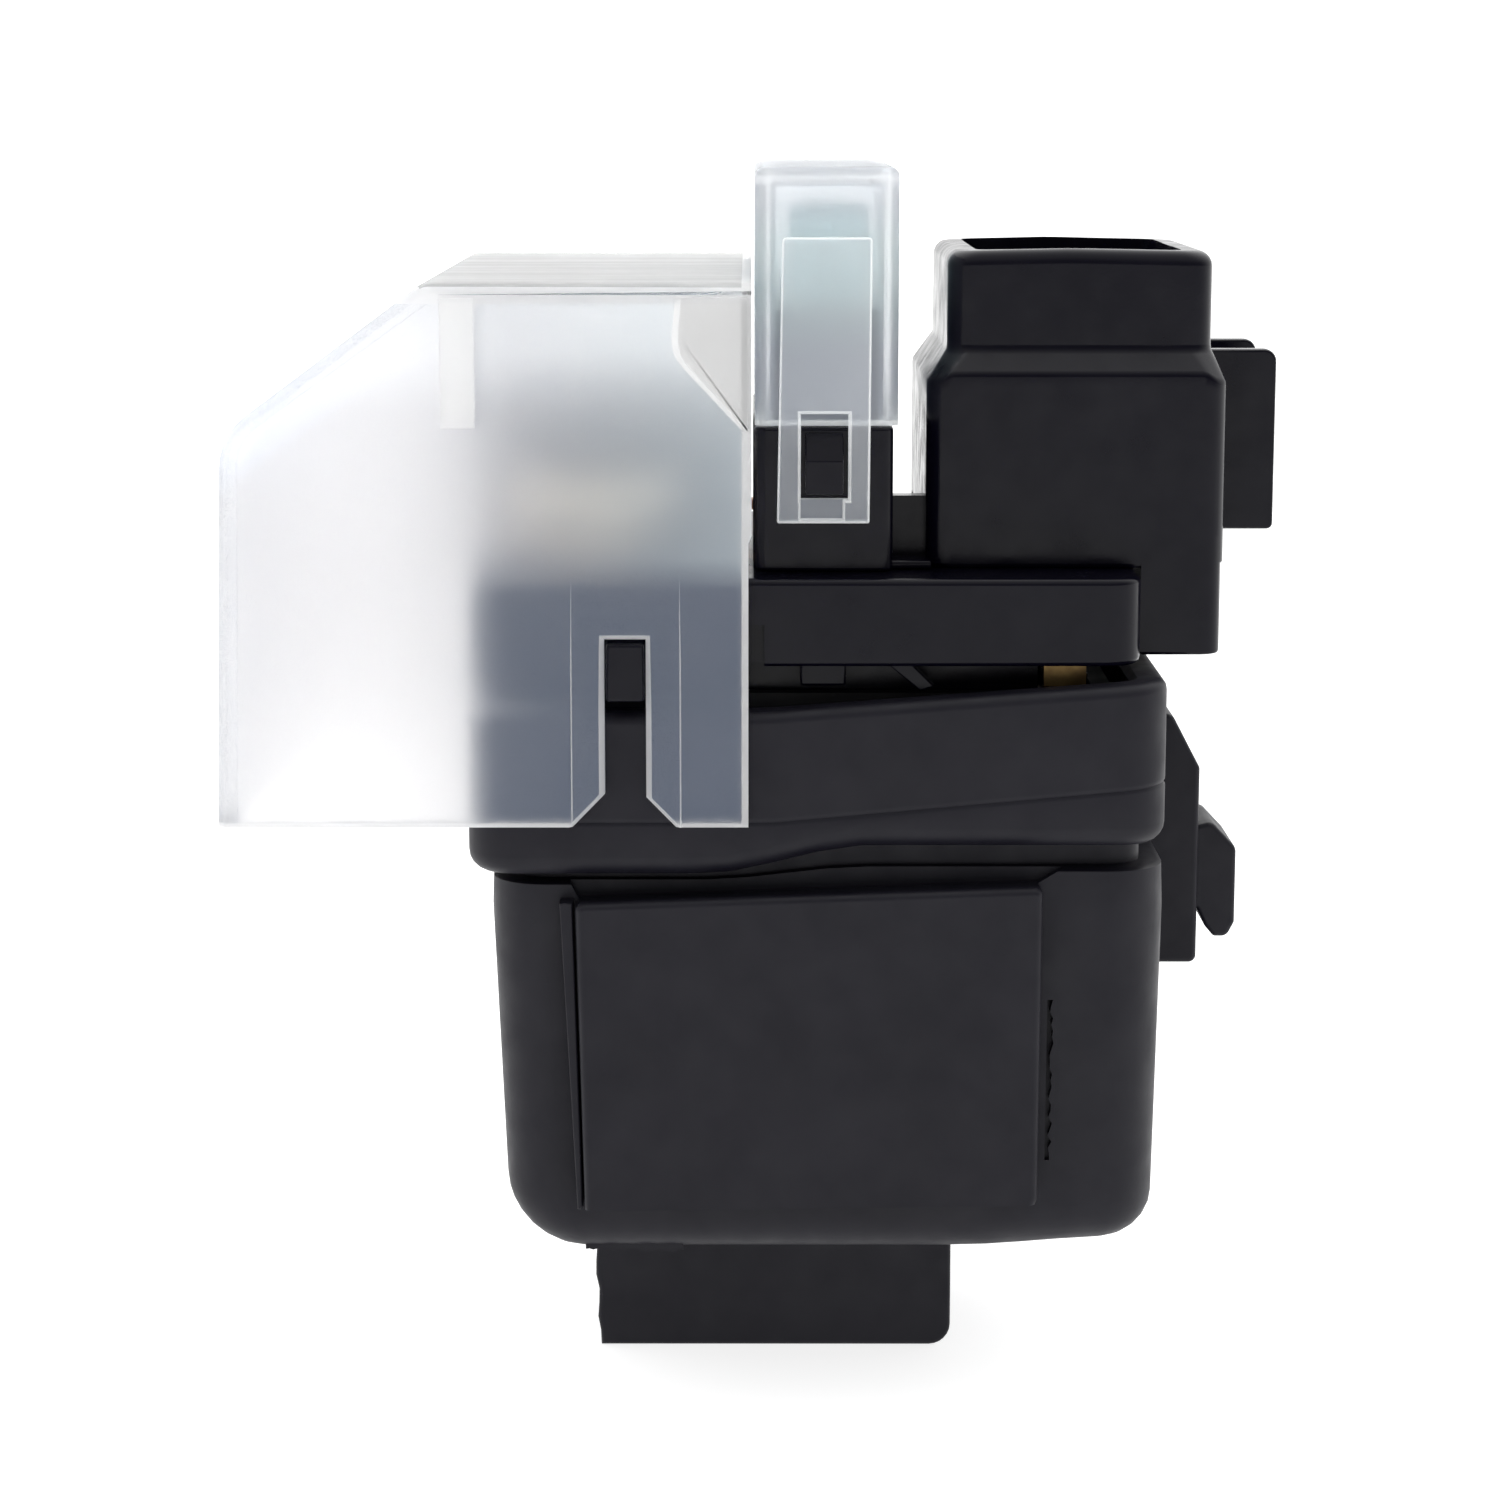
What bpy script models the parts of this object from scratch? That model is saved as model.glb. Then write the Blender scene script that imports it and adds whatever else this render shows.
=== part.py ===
"""Starter relay (magnetic switch) in its rubber mount, with a cable-terminal hood, a blade fuse
under a cap and a plug socket.

Sizes are in millimetres and turned into metres as the meshes are made. +X points to the plug socket,
-X to the cable side, +Y to the back and +Z up. The origin is the middle of the footprint, at the
bottom of the mount's foot. Touching pieces keep a gap of GAP between their faces.
"""

import math

import bmesh
import bpy
from mathutils import Matrix, Vector

MM = 0.001
GAP = 0.3
ROUND_STEPS = 24

# Overall layout
COIL_X = 4.5
TERMINAL_X = -10.6
TERMINAL_Y = 10.4
SOCKET_Y = -2.0
TOWER_X = 4.35
FUSE_X = 4.6

# Rubber mount
FOOT_LOW, FOOT_HIGH = (-10.7, -7.0, 0.0), (13.3, 7.0, 14.0)
BODY_LOW, BODY_HIGH = (-17.0, -19.3, 10.0), (26.0, 19.3, 34.9)
BODY_DRAFT = (1.5, 1.0, 0.5)
NECK_LOW, NECK_HIGH = (-16.0, -18.4, 33.0), (25.0, 18.4, 38.0)
COLLAR_LOW, COLLAR_HIGH = (-18.4, -20.5, 36.5), (26.1, 20.5, 47.2)
RIM_SLOPE = 0.0435
PANEL_LOW, PANEL_HIGH = (-11.6, -21.3, 14.6), (17.9, -15.0, 35.2)
FLOOR_TOP = 13.3
HOOK_HALF_DEPTH = 3.5
PLATE_HALF_DEPTH = 4.5
FOOT_SLEEVE_LOW, FOOT_SLEEVE_HIGH = (-8.2, -4.6, -1.0), (10.7, 4.6, 9.5)
POCKET_LOW, POCKET_HIGH = (-9.0, -20.2, 17.0), (20.0, -18.4, 27.5)

# Coil case, which fills the mount, and the seal on its rim
CASE_LOW, CASE_HIGH = (-14.0, -16.3, FLOOR_TOP + GAP), (23.1, 16.3, 45.6)
CASE_WALL = 1.4
SEAL_HEIGHT = 1.1

# Deck
DECK_LOW, DECK_HIGH = (-18.4, -19.0, 49.1), (24.4, 19.0, 54.7)
SKIRT_BOTTOM = 42.2
SKIRT_WALL = 1.2
APRON_BOTTOM, APRON_RIGHT = 47.4, -1.2
PARTITION_LOW, PARTITION_HIGH = (-18.6, -1.1, 52.0), (-0.9, 1.1, 65.8)
RIB_LOW, RIB_HIGH = (2.8, -18.4, 47.6), (5.7, -14.2, 50.0)
NOTCH_LOW, NOTCH_HIGH = (-0.9, -19.6, 48.0), (0.5, -17.0, 51.8)
LUG_HALF, LUG_SPAN_Y, LUG_SPAN_Z = 0.95, (18.5, 21.7), (47.3, 51.0)
ABOVE_DECK = 60.0
SLOT_X = -8.2

# Terminals: a square nut in the deck, the bar's pad, room for a cable lug, two washers and the screw
NUT_Z = (50.3, 52.9)
PAD_Z = (53.2, 54.2)
PAD_LEFT = -15.6
PAD_Y = (5.4, 15.4)
NUT_HALF = 4.9
LEG_X, LEG_OUTER_Y = (-4.6, -3.6), 11.4
SCREW_R, SHANK_R, WASHER_HOLE_R = 5.77, 2.85, 3.3
BATTERY_PAD_RIGHT, MOTOR_PAD_RIGHT = -1.2, -3.6
LUG_ROOM = 2.1
FLAT_WASHER_Z = (PAD_Z[1] + LUG_ROOM, PAD_Z[1] + LUG_ROOM + 0.5)
SPRING_WASHER_Z = (FLAT_WASHER_Z[1] + GAP, FLAT_WASHER_Z[1] + GAP + 0.8)
SCREW_HEAD_Z = (SPRING_WASHER_Z[1] + GAP, SPRING_WASHER_Z[1] + GAP + 2.5)

# Terminal hood
HOOD_LEFT, HOOD_RIGHT = -34.0, -0.5
HOOD_HALF_DEPTH = 22.0
HOOD_BOTTOM, HOOD_TOP = 39.4, 73.3
HOOD_WALL = 1.1
HOOD_SLOT_HALF = 1.3
HOOD_SLOT_TOP = 51.3

# Fuse tower and cap
TOWER_LOW, TOWER_HIGH = (0.0, -15.8, DECK_HIGH[2] + GAP), (8.7, 11.8, 63.9)
HOLDER_LOW, HOLDER_HIGH = (1.3, -14.1, 62.0), (7.5, 10.1, 71.3)
CAP_LOW, CAP_HIGH = (-0.1, -15.5, 64.2), (9.0, 11.5, 80.2)
CAP_WALL = 1.05
STRAP_Z = (58.0, 75.9)
STRAP_HALF_WIDTH = 2.9
STRAP_THICKNESS = 1.1
WINDOW_HALF_WIDTH = 1.5
WINDOW_Z = (59.5, 64.9)
LUG_HALF_WIDTH = 1.2
LUG_Z = (59.8, 61.9, 63.6)
CLIP_ROOM_Z = (57.0, 75.0)

# Fuse
FUSE_HALF = 2.55
FUSE_Y = (-11.55, 7.55)
FUSE_Z = (71.6, 77.9)
BLADE_WIDTH = 5.2
BLADE_HALF_THICKNESS = 0.33

# Plug socket
SOCKET_LOW, SOCKET_HIGH = (10.9, -14.0, DECK_HIGH[2] + GAP), (30.1, 10.0, 66.7)
SOCKET_TOP = 75.0
SHOULDER_RISE = 1.9
SHOULDER_STEP = (1.35, 1.4, 0.9)
CAVITY_LOW, CAVITY_HIGH = (14.1, -11.2, 58.0), (27.3, 7.2, 80.0)
GUIDE_RIGHT = 34.0
GUIDE_Z = (56.5, 68.3)
GUIDE_HALF_GAP = 4.2
GUIDE_WALL = 1.4
PIN_TOP = 66.0
WIDE_PIN_X = 17.0
NARROW_PIN_X = 22.4
PIN_HALF_THICKNESS = 0.4

# Magnet system
YOKE_HALF_SPAN = 16.2
YOKE_HALF_DEPTH = 9.0
YOKE_SHEET = 1.6
YOKE_BOTTOM = 15.3
YOKE_TOP = 41.9
BOBBIN_Z = (17.3, 40.0)
BOBBIN_FLANGE_R = 13.3
CORE_R = 5.2
PLUNGER_Z = (17.2, 25.2)
ROD_R = 1.4
BRIDGE_Z = (43.3, 44.5)
ARM_Z = (46.5, 47.5)
ARM_RIGHT = 8.0

BLACK_RUBBER = ("boot_rubber", (0.018, 0.018, 0.02), 0.55, 0.0)
BLACK_PLASTIC = ("black_plastic", (0.02, 0.02, 0.022), 0.38, 0.0)
FROSTED = ("frosted_plastic", (0.86, 0.88, 0.9), 0.4, 0.0)
CLEAR = ("clear_plastic", (0.82, 0.92, 0.92), 0.2, 0.0)
FUSE_GREEN = ("fuse_plastic", (0.25, 0.75, 0.55), 0.2, 0.0)
BRASS = ("brass", (0.78, 0.56, 0.2), 0.35, 1.0)
COPPER = ("copper", (0.8, 0.42, 0.25), 0.35, 1.0)
STEEL = ("zinc_plated_steel", (0.72, 0.7, 0.64), 0.35, 1.0)
TINNED = ("tinned_metal", (0.75, 0.75, 0.74), 0.3, 1.0)
BOBBIN_PLASTIC = ("bobbin_plastic", (0.72, 0.7, 0.62), 0.5, 0.0)


# ---------------------------------------------------------------- scene helpers


def clear_scene():
    for old in list(bpy.data.objects):
        bpy.data.objects.remove(old, do_unlink=True)


def collection(name):
    made = bpy.data.collections.new(name)
    bpy.context.scene.collection.children.link(made)
    return made


def material(spec):
    name, colour, roughness, metallic = spec
    made = bpy.data.materials.get(name)
    if made:
        return made
    made = bpy.data.materials.new(name)
    made.use_nodes = True
    shader = made.node_tree.nodes["Principled BSDF"]
    shader.inputs["Base Color"].default_value = (*colour, 1.0)
    shader.inputs["Roughness"].default_value = roughness
    shader.inputs["Metallic"].default_value = metallic
    return made


def place(name, mesh, centre, spec):
    """Put a mesh in the scene: a part when it has a material, otherwise a cutter."""
    made = bpy.data.objects.new(name, mesh)
    made.location = Vector(centre) * MM
    if spec:
        PARTS.objects.link(made)
        mesh.materials.append(material(spec))
    else:
        CUTTERS.objects.link(made)
        made.hide_render = True
        made.display_type = "WIRE"
    return made


def mesh_of(name, bm):
    mesh = bpy.data.meshes.new(name)
    bm.to_mesh(mesh)
    bm.free()
    return mesh


def parallel_edges(bm, axis):
    """The edges that run along one axis, 0 to 2."""
    found = []
    for edge in bm.edges:
        along = edge.verts[1].co - edge.verts[0].co
        if abs(along[axis]) > 0.5 * along.length:
            found.append(edge)
    return found


def end_edges(bm, axis, side):
    """The edges of the face at one end of an axis; side is -1 or 1."""
    limit = max(vert.co[axis] * side for vert in bm.verts)
    return [
        edge
        for edge in bm.edges
        if all(vert.co[axis] * side > limit - 1e-7 for vert in edge.verts)
    ]


def bevel(bm, edges, radius, steps):
    bmesh.ops.bevel(
        bm, geom=edges, offset=radius * MM, segments=steps, profile=0.5, affect="EDGES"
    )


def box(name, low, high, spec=None, corner=0.0, axis=2, steps=3, shape=None):
    """A box between two corners; corner rounds its edges along axis, and shape edits the mesh."""
    size = [(b - a) * MM for a, b in zip(low, high)]
    bm = bmesh.new()
    bmesh.ops.create_cube(bm, size=1.0, matrix=Matrix.Diagonal((*size, 1.0)))
    if corner:
        bevel(bm, parallel_edges(bm, axis), corner, steps)
    if shape:
        shape(bm)
    centre = [(a + b) / 2 for a, b in zip(low, high)]
    return place(name, mesh_of(name, bm), centre, spec)


def cylinder(name, centre, radius, length, spec=None, steps=ROUND_STEPS):
    bm = bmesh.new()
    bmesh.ops.create_cone(
        bm, cap_ends=True, segments=steps, radius1=radius * MM, radius2=radius * MM, depth=length * MM
    )
    return place(name, mesh_of(name, bm), centre, spec)


def prism(name, outline, low, high, plane, spec=None):
    """A flat outline in the XZ or YZ plane, made solid between two places on the third axis."""
    curve = bpy.data.curves.new(name + "_outline", "CURVE")
    curve.dimensions = "2D"
    curve.fill_mode = "BOTH"
    curve.extrude = (high - low) / 2 * MM
    spline = curve.splines.new("POLY")
    spline.points.add(len(outline) - 1)
    for point, (across, up) in zip(spline.points, outline):
        point.co = (across * MM, up * MM, 0.0, 1.0)
    spline.use_cyclic_u = True
    guide = bpy.data.objects.new(name + "_outline", curve)
    middle = (low + high) / 2 * MM
    if plane == "XZ":
        guide.rotation_euler = (math.pi / 2, 0.0, 0.0)
        guide.location = (0.0, middle, 0.0)
    else:
        guide.rotation_euler = (math.pi / 2, 0.0, math.pi / 2)
        guide.location = (middle, 0.0, 0.0)
    CUTTERS.objects.link(guide)
    bpy.context.view_layer.update()
    shown = guide.evaluated_get(bpy.context.evaluated_depsgraph_get())
    mesh = bpy.data.meshes.new_from_object(shown)
    bm = bmesh.new()
    bm.from_mesh(mesh)
    bmesh.ops.remove_doubles(bm, verts=bm.verts, dist=1e-7)
    bm.to_mesh(mesh)
    bm.free()
    made = place(name, mesh, (0.0, 0.0, 0.0), spec)
    made.matrix_world = guide.matrix_world
    bpy.data.objects.remove(guide, do_unlink=True)
    return made


def turned(name, x, y, profile, spec, closed, steps=ROUND_STEPS):
    """A turned piece from (radius, height) points that run down its outer side."""
    base = min(height for _, height in profile)
    mesh = bpy.data.meshes.new(name)
    points = [(radius * MM, 0.0, (height - base) * MM) for radius, height in profile]
    edges = [(i, i + 1) for i in range(len(points) - 1)]
    if closed:
        edges.append((len(points) - 1, 0))
    mesh.from_pydata(points, edges, [])
    made = place(name, mesh, (x, y, base), spec)
    screw = made.modifiers.new("turn", "SCREW")
    screw.steps = steps
    screw.render_steps = steps
    screw.use_merge_vertices = True
    screw.merge_threshold = 1e-6
    screw.use_normal_calculate = False
    return made


def wire(name, points, radius, spec):
    """A round wire along points, with closed ends."""
    curve = bpy.data.curves.new(name, "CURVE")
    curve.dimensions = "3D"
    curve.bevel_depth = radius * MM
    curve.bevel_resolution = 2
    curve.use_fill_caps = True
    spline = curve.splines.new("POLY")
    spline.points.add(len(points) - 1)
    origin = Vector(points[0])
    for target, point in zip(spline.points, points):
        target.co = (*((Vector(point) - origin) * MM), 1.0)
    made = bpy.data.objects.new(name, curve)
    made.location = origin * MM
    curve.materials.append(material(spec))
    PARTS.objects.link(made)
    return made


def coil(name, x, y, low, high, radius, gauge, turns, spec):
    """A compression spring about a vertical axis."""
    per_turn = 10
    count = int(turns * per_turn)
    points = []
    for i in range(count + 1):
        angle = 2 * math.pi * i / per_turn
        height = low + gauge + (high - low - 2 * gauge) * i / count
        points.append((x + radius * math.cos(angle), y + radius * math.sin(angle), height))
    return wire(name, points, gauge, spec)


def boolean(target, tool, operation):
    step = target.modifiers.new(tool.name, "BOOLEAN")
    step.operation = operation
    step.solver = "EXACT"
    step.object = tool


def cut(target, *tools):
    for tool in tools:
        boolean(target, tool, "DIFFERENCE")


def join(target, *tools):
    for tool in tools:
        boolean(target, tool, "UNION")


def shrink(low, high, by):
    """The corners of a box moved inwards in X and Y."""
    return (low[0] + by, low[1] + by, low[2]), (high[0] - by, high[1] - by, high[2])


def carrier(name, centre, pieces):
    """An empty on a joint's axis, with the pieces that move with it as its children."""
    empty = bpy.data.objects.new(name, None)
    empty.empty_display_size = 5 * MM
    empty.location = Vector(centre) * MM
    PARTS.objects.link(empty)
    for piece in pieces:
        piece.parent = empty
        piece.location = piece.location - empty.location
    return empty


# ---------------------------------------------------------------- rubber mount


def boot_body():
    def draft(bm):
        low_x, all_y, high_x = (value * MM for value in BODY_DRAFT)
        for vert in bm.verts:
            if vert.co.z < 0:
                vert.co.x += low_x if vert.co.x < 0 else -high_x
                vert.co.y += all_y if vert.co.y < 0 else -all_y
        bevel(bm, parallel_edges(bm, 2) + end_edges(bm, 2, -1), 3.2, 3)

    return box("rubber_boot", BODY_LOW, BODY_HIGH, BLACK_RUBBER, shape=draft)


def boot_collar():
    def sloping_rim(bm):
        bevel(bm, end_edges(bm, 2, -1), 1.2, 2)
        top = max(vert.co.z for vert in bm.verts)
        for vert in bm.verts:
            if vert.co.z > top - 1e-7:
                vert.co.z += vert.co.x * RIM_SLOPE

    return box("boot_collar", COLLAR_LOW, COLLAR_HIGH, corner=3.0, shape=sloping_rim)


def boot_hook():
    """The side plate and the T-shaped head that hooks into a bracket."""
    plate = prism(
        "boot_plate",
        [(24.0, 26.8), (29.9, 26.8), (29.9, 39.2), (28.0, 42.9), (24.0, 42.9)],
        -PLATE_HALF_DEPTH,
        PLATE_HALF_DEPTH,
        "XZ",
    )
    head = prism(
        "boot_hook_head",
        [
            (29.4, 30.2), (30.1, 30.0), (30.6, 28.8), (31.2, 28.0), (32.1, 28.0), (32.7, 28.9),
            (32.7, 34.0), (32.0, 35.2), (31.0, 36.0), (29.4, 35.4),
        ],
        -HOOK_HALF_DEPTH,
        HOOK_HALF_DEPTH,
        "XZ",
    )
    return plate, head


def rubber_boot():
    boot = boot_body()
    neck = box("boot_neck", NECK_LOW, NECK_HIGH, corner=3.0)
    foot = box("boot_foot", FOOT_LOW, FOOT_HIGH)
    panel = box(
        "boot_panel", PANEL_LOW, PANEL_HIGH, shape=lambda bm: bevel(bm, end_edges(bm, 1, -1), 0.8, 2)
    )
    join(boot, neck, boot_collar(), panel, foot, *boot_hook())
    cavity = box(
        "boot_cavity",
        (CASE_LOW[0] - GAP, CASE_LOW[1] - GAP, FLOOR_TOP),
        (CASE_HIGH[0] + GAP, CASE_HIGH[1] + GAP, COLLAR_HIGH[2] + 5.0),
        corner=2.4,
    )
    foot_sleeve = box("boot_foot_sleeve", FOOT_SLEEVE_LOW, FOOT_SLEEVE_HIGH)
    pocket = box("boot_pocket", POCKET_LOW, POCKET_HIGH)
    cut(boot, cavity, foot_sleeve, pocket)
    return boot


# ---------------------------------------------------------------- case and deck


def coil_case():
    case = box("coil_case", CASE_LOW, CASE_HIGH, BLACK_PLASTIC, corner=2.1)
    low, high = shrink(CASE_LOW, CASE_HIGH, CASE_WALL)
    room = box("case_room", (*low[:2], low[2] + CASE_WALL), (*high[:2], high[2] + 5.0), corner=1.0, steps=2)
    cut(case, room)
    return case


def case_seal():
    low, high = shrink(CASE_LOW, CASE_HIGH, 0.1)
    bottom = CASE_HIGH[2] + GAP
    seal = box("case_seal", (*low[:2], bottom), (*high[:2], bottom + SEAL_HEIGHT), BLACK_RUBBER, corner=2.0)
    low, high = shrink(CASE_LOW, CASE_HIGH, CASE_WALL)
    opening = box("seal_opening", (*low[:2], bottom - 2.0), (*high[:2], bottom + 4.0), corner=1.0, steps=2)
    cut(seal, opening)
    return seal


def coil_slots(side):
    """Room in the deck for a coil terminal; side is -1 at the front and 1 at the back."""
    outer = 16.3 * side
    inner = pin_centre_y(side) - 1.65 * side
    low_y, high_y = sorted((outer, inner))
    leg_low, leg_high = sorted((outer, 11.2 * side))
    pin_low, pin_high = sorted((inner, pin_centre_y(side) + 1.65 * side))
    name = "front" if side < 0 else "back"
    return (
        box("deck_link_slot_" + name, (18.1, low_y, 47.9), (23.1, high_y, 52.3)),
        box("deck_leg_slot_" + name, (18.1, leg_low, 47.1), (20.5, leg_high, 49.4)),
        box("deck_pin_slot_" + name, (21.7, pin_low, 52.0), (23.1, pin_high, 56.0)),
    )


def contact_base():
    base = box("contact_base", DECK_LOW, DECK_HIGH, BLACK_PLASTIC, corner=1.6)
    skirt_low, skirt_high = shrink(CASE_LOW, CASE_HIGH, CASE_WALL + GAP)
    overlap = DECK_LOW[2] + 0.5
    skirt = box("deck_skirt", (*skirt_low[:2], SKIRT_BOTTOM), (*skirt_high[:2], overlap), corner=0.8)
    partition = box("deck_partition", PARTITION_LOW, PARTITION_HIGH)
    rib = box("deck_rib", RIB_LOW, RIB_HIGH)
    apron = box("deck_apron", (*DECK_LOW[:2], APRON_BOTTOM), (APRON_RIGHT, DECK_HIGH[1], overlap))
    join(base, skirt, partition, rib, apron)
    for side in (-1, 1):
        low_y, high_y = sorted(y * side for y in LUG_SPAN_Y)
        low_z, high_z = LUG_SPAN_Z
        lug = box(f"deck_lug_{side}", (SLOT_X - LUG_HALF, low_y, low_z), (SLOT_X + LUG_HALF, high_y, high_z))
        join(base, lug)
    low, high = shrink(skirt_low, skirt_high, SKIRT_WALL)
    cut(base, box("deck_chamber", (*low[:2], SKIRT_BOTTOM - 2.0), (*high[:2], DECK_LOW[2])))
    cut(base, box("deck_notch", NOTCH_LOW, NOTCH_HIGH))
    for side in (-1, 1):
        centre_y = TERMINAL_Y * side
        reach = NUT_HALF + GAP
        nut_room = box(
            f"deck_nut_room_{side}",
            (TERMINAL_X - reach, centre_y - reach, NUT_Z[0] - GAP),
            (TERMINAL_X + reach, centre_y + reach, ABOVE_DECK),
        )
        low_y, high_y = sorted(((PAD_Y[0] - GAP) * side, (PAD_Y[1] + GAP) * side))
        pad_right = BATTERY_PAD_RIGHT if side > 0 else MOTOR_PAD_RIGHT
        pad_room = box(
            f"deck_pad_room_{side}",
            (PAD_LEFT - GAP, low_y, PAD_Z[0] - GAP),
            (pad_right + GAP, high_y, ABOVE_DECK),
        )
        low_y, high_y = sorted(((PAD_Y[0] - GAP) * side, (LEG_OUTER_Y + GAP) * side))
        leg_slot = box(
            f"deck_bar_slot_{side}",
            (LEG_X[0] - GAP, low_y, DECK_LOW[2] - 1.0),
            (LEG_X[1] + GAP, high_y, DECK_HIGH[2] + 1.0),
        )
        cut(base, nut_room, pad_room, leg_slot, *coil_slots(side))
    cut(base, cylinder("deck_rod_guide", (COIL_X, 0.0, 50.0), 1.9, 3.6))
    return base


# ---------------------------------------------------------------- fuse tower and plug socket


def pin_centre_y(side):
    """The middle of a coil pin, the same distance each side of the socket's middle."""
    return SOCKET_Y + 7.35 * side


def latch_lug(side):
    """A lug with a sloping top for the cap's strap, on the front or the back of the tower."""
    face = TOWER_LOW[1] if side < 0 else TOWER_HIGH[1]
    out = face + 1.2 * side
    inside = face - 1.0 * side
    return prism(
        f"latch_lug_{side}",
        [
            (inside, LUG_Z[0]), (out, LUG_Z[0]), (out, LUG_Z[1]),
            (face + 0.2 * side, LUG_Z[2]), (inside, LUG_Z[2]),
        ],
        TOWER_X - 0.05 - LUG_HALF_WIDTH,
        TOWER_X - 0.05 + LUG_HALF_WIDTH,
        "YZ",
    )


def socket_shell():
    step_left, step_depth, step_right = SHOULDER_STEP
    upper_low = (SOCKET_LOW[0] + step_left, SOCKET_LOW[1] + step_depth, SOCKET_HIGH[2] - 2.0)
    upper_high = (SOCKET_HIGH[0] - step_right, SOCKET_HIGH[1] - step_depth, SOCKET_TOP)
    upper = box("socket_upper", upper_low, upper_high, corner=1.6)

    def narrow(bm):
        for vert in bm.verts:
            if vert.co.z > 0:
                vert.co.x += (step_left if vert.co.x < 0 else -step_right) * MM
                vert.co.y += (step_depth if vert.co.y < 0 else -step_depth) * MM
        bevel(bm, parallel_edges(bm, 2), 1.6, 3)

    shoulder = box(
        "socket_shoulder",
        (*SOCKET_LOW[:2], SOCKET_HIGH[2] - 0.5),
        (*SOCKET_HIGH[:2], SOCKET_HIGH[2] + SHOULDER_RISE),
        shape=narrow,
    )
    lower = box("socket_lower", SOCKET_LOW, SOCKET_HIGH, corner=1.6)
    overhang = box(
        "socket_overhang",
        (DECK_HIGH[0] + GAP, SOCKET_LOW[1], DECK_LOW[2]),
        (SOCKET_HIGH[0] - 0.15, SOCKET_HIGH[1], SOCKET_LOW[2] + 2.0),
        corner=1.3,
    )
    return lower, shoulder, upper, overhang


def lock_guide():
    """Two walls and a ramp on the socket's outer side, where the plug's lock snaps in."""
    pieces = []
    for side in (-1, 1):
        inner = SOCKET_Y + GUIDE_HALF_GAP * side
        low_y, high_y = sorted((inner, inner + GUIDE_WALL * side))
        low_z, high_z = GUIDE_Z
        outline = [
            (SOCKET_HIGH[0] - 0.6, low_z), (GUIDE_RIGHT, low_z), (GUIDE_RIGHT, high_z - 0.8),
            (GUIDE_RIGHT - 0.25, high_z - 0.25), (GUIDE_RIGHT - 0.8, high_z), (SOCKET_HIGH[0] - 0.6, high_z),
        ]
        pieces.append(prism(f"lock_wall_{side}", outline, low_y, high_y, "XZ"))
    ramp = [(SOCKET_HIGH[0] - 0.6, 57.4), (31.2, 57.4), (31.2, 58.2), (SOCKET_HIGH[0] - 0.6, 60.2)]
    pieces.append(prism("lock_ramp", ramp, SOCKET_Y - 2.2, SOCKET_Y + 2.2, "XZ"))
    return pieces


def connector_fuse_block():
    block = box("connector_fuse_block", TOWER_LOW, TOWER_HIGH, BLACK_PLASTIC, corner=0.8, steps=2)
    holder = box("fuse_holder", HOLDER_LOW, HOLDER_HIGH, corner=0.5, steps=2)
    link = box("tower_link", (7.9, -11.0, TOWER_LOW[2]), (12.5, 7.0, 59.1))
    join(block, holder, link, *socket_shell(), *lock_guide(), latch_lug(-1), latch_lug(1))
    cut(block, box("socket_cavity", CAVITY_LOW, CAVITY_HIGH, corner=1.0, steps=2))
    for side in (-1, 1):
        low_y, high_y = blade_span(side)
        name = "front" if side < 0 else "back"
        clip_room = box(
            "clip_room_" + name,
            (FUSE_X - 1.7, low_y - 0.5, CLIP_ROOM_Z[0]),
            (FUSE_X + 1.7, high_y + 0.5, CLIP_ROOM_Z[1]),
        )
        pin_y = pin_centre_y(side)
        pin_hole = box(
            "coil_pin_hole_" + name,
            (NARROW_PIN_X - 0.7, pin_y - 1.65, 54.0),
            (NARROW_PIN_X + 0.7, pin_y + 1.65, 59.0),
        )
        low_y, high_y = wide_pin_span(side)
        wide_hole = box(
            "wide_pin_hole_" + name,
            (WIDE_PIN_X - 0.7, low_y - GAP, 57.0),
            (WIDE_PIN_X + 0.7, high_y + GAP, 59.0),
        )
        cut(block, clip_room, pin_hole, wide_hole)
    cut(
        block,
        box("shank_room", (FUSE_X - 2.15, -9.6, 66.4), (FUSE_X + 2.15, 5.6, 75.0)),
        box("feed_channel", (-1.0, 5.0, 54.0), (18.3, 7.3, 57.5)),
        box("output_channel", (2.6, -9.9, 54.0), (18.3, -7.1, 57.5)),
    )
    return block


def wide_pin_span(side):
    """The Y range of a wide socket pin: the front one is fused, the back one is the supply."""
    return (-10.3, -4.0) if side < 0 else (0.2, 6.5)


def socket_pins():
    pins = []
    for side, name in ((-1, "connector_pin_fused"), (1, "connector_pin_supply")):
        low_y, high_y = wide_pin_span(side)
        pins.append(flat_pin(name, WIDE_PIN_X, low_y, high_y, 57.3))
    for side, name in ((-1, "connector_pin_coil_front"), (1, "connector_pin_coil_rear")):
        centre = pin_centre_y(side)
        pins.append(flat_pin(name, NARROW_PIN_X, centre - 1.35, centre + 1.35, 52.3))
    return pins


def flat_pin(name, x, low_y, high_y, bottom):
    """A flat blade with a chamfered tip."""
    low = (x - PIN_HALF_THICKNESS, low_y, bottom)
    high = (x + PIN_HALF_THICKNESS, high_y, PIN_TOP)
    return box(name, low, high, TINNED, shape=lambda bm: bevel(bm, end_edges(bm, 2, 1), 0.25, 1))


# ---------------------------------------------------------------- hood, cap and fuse


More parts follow.
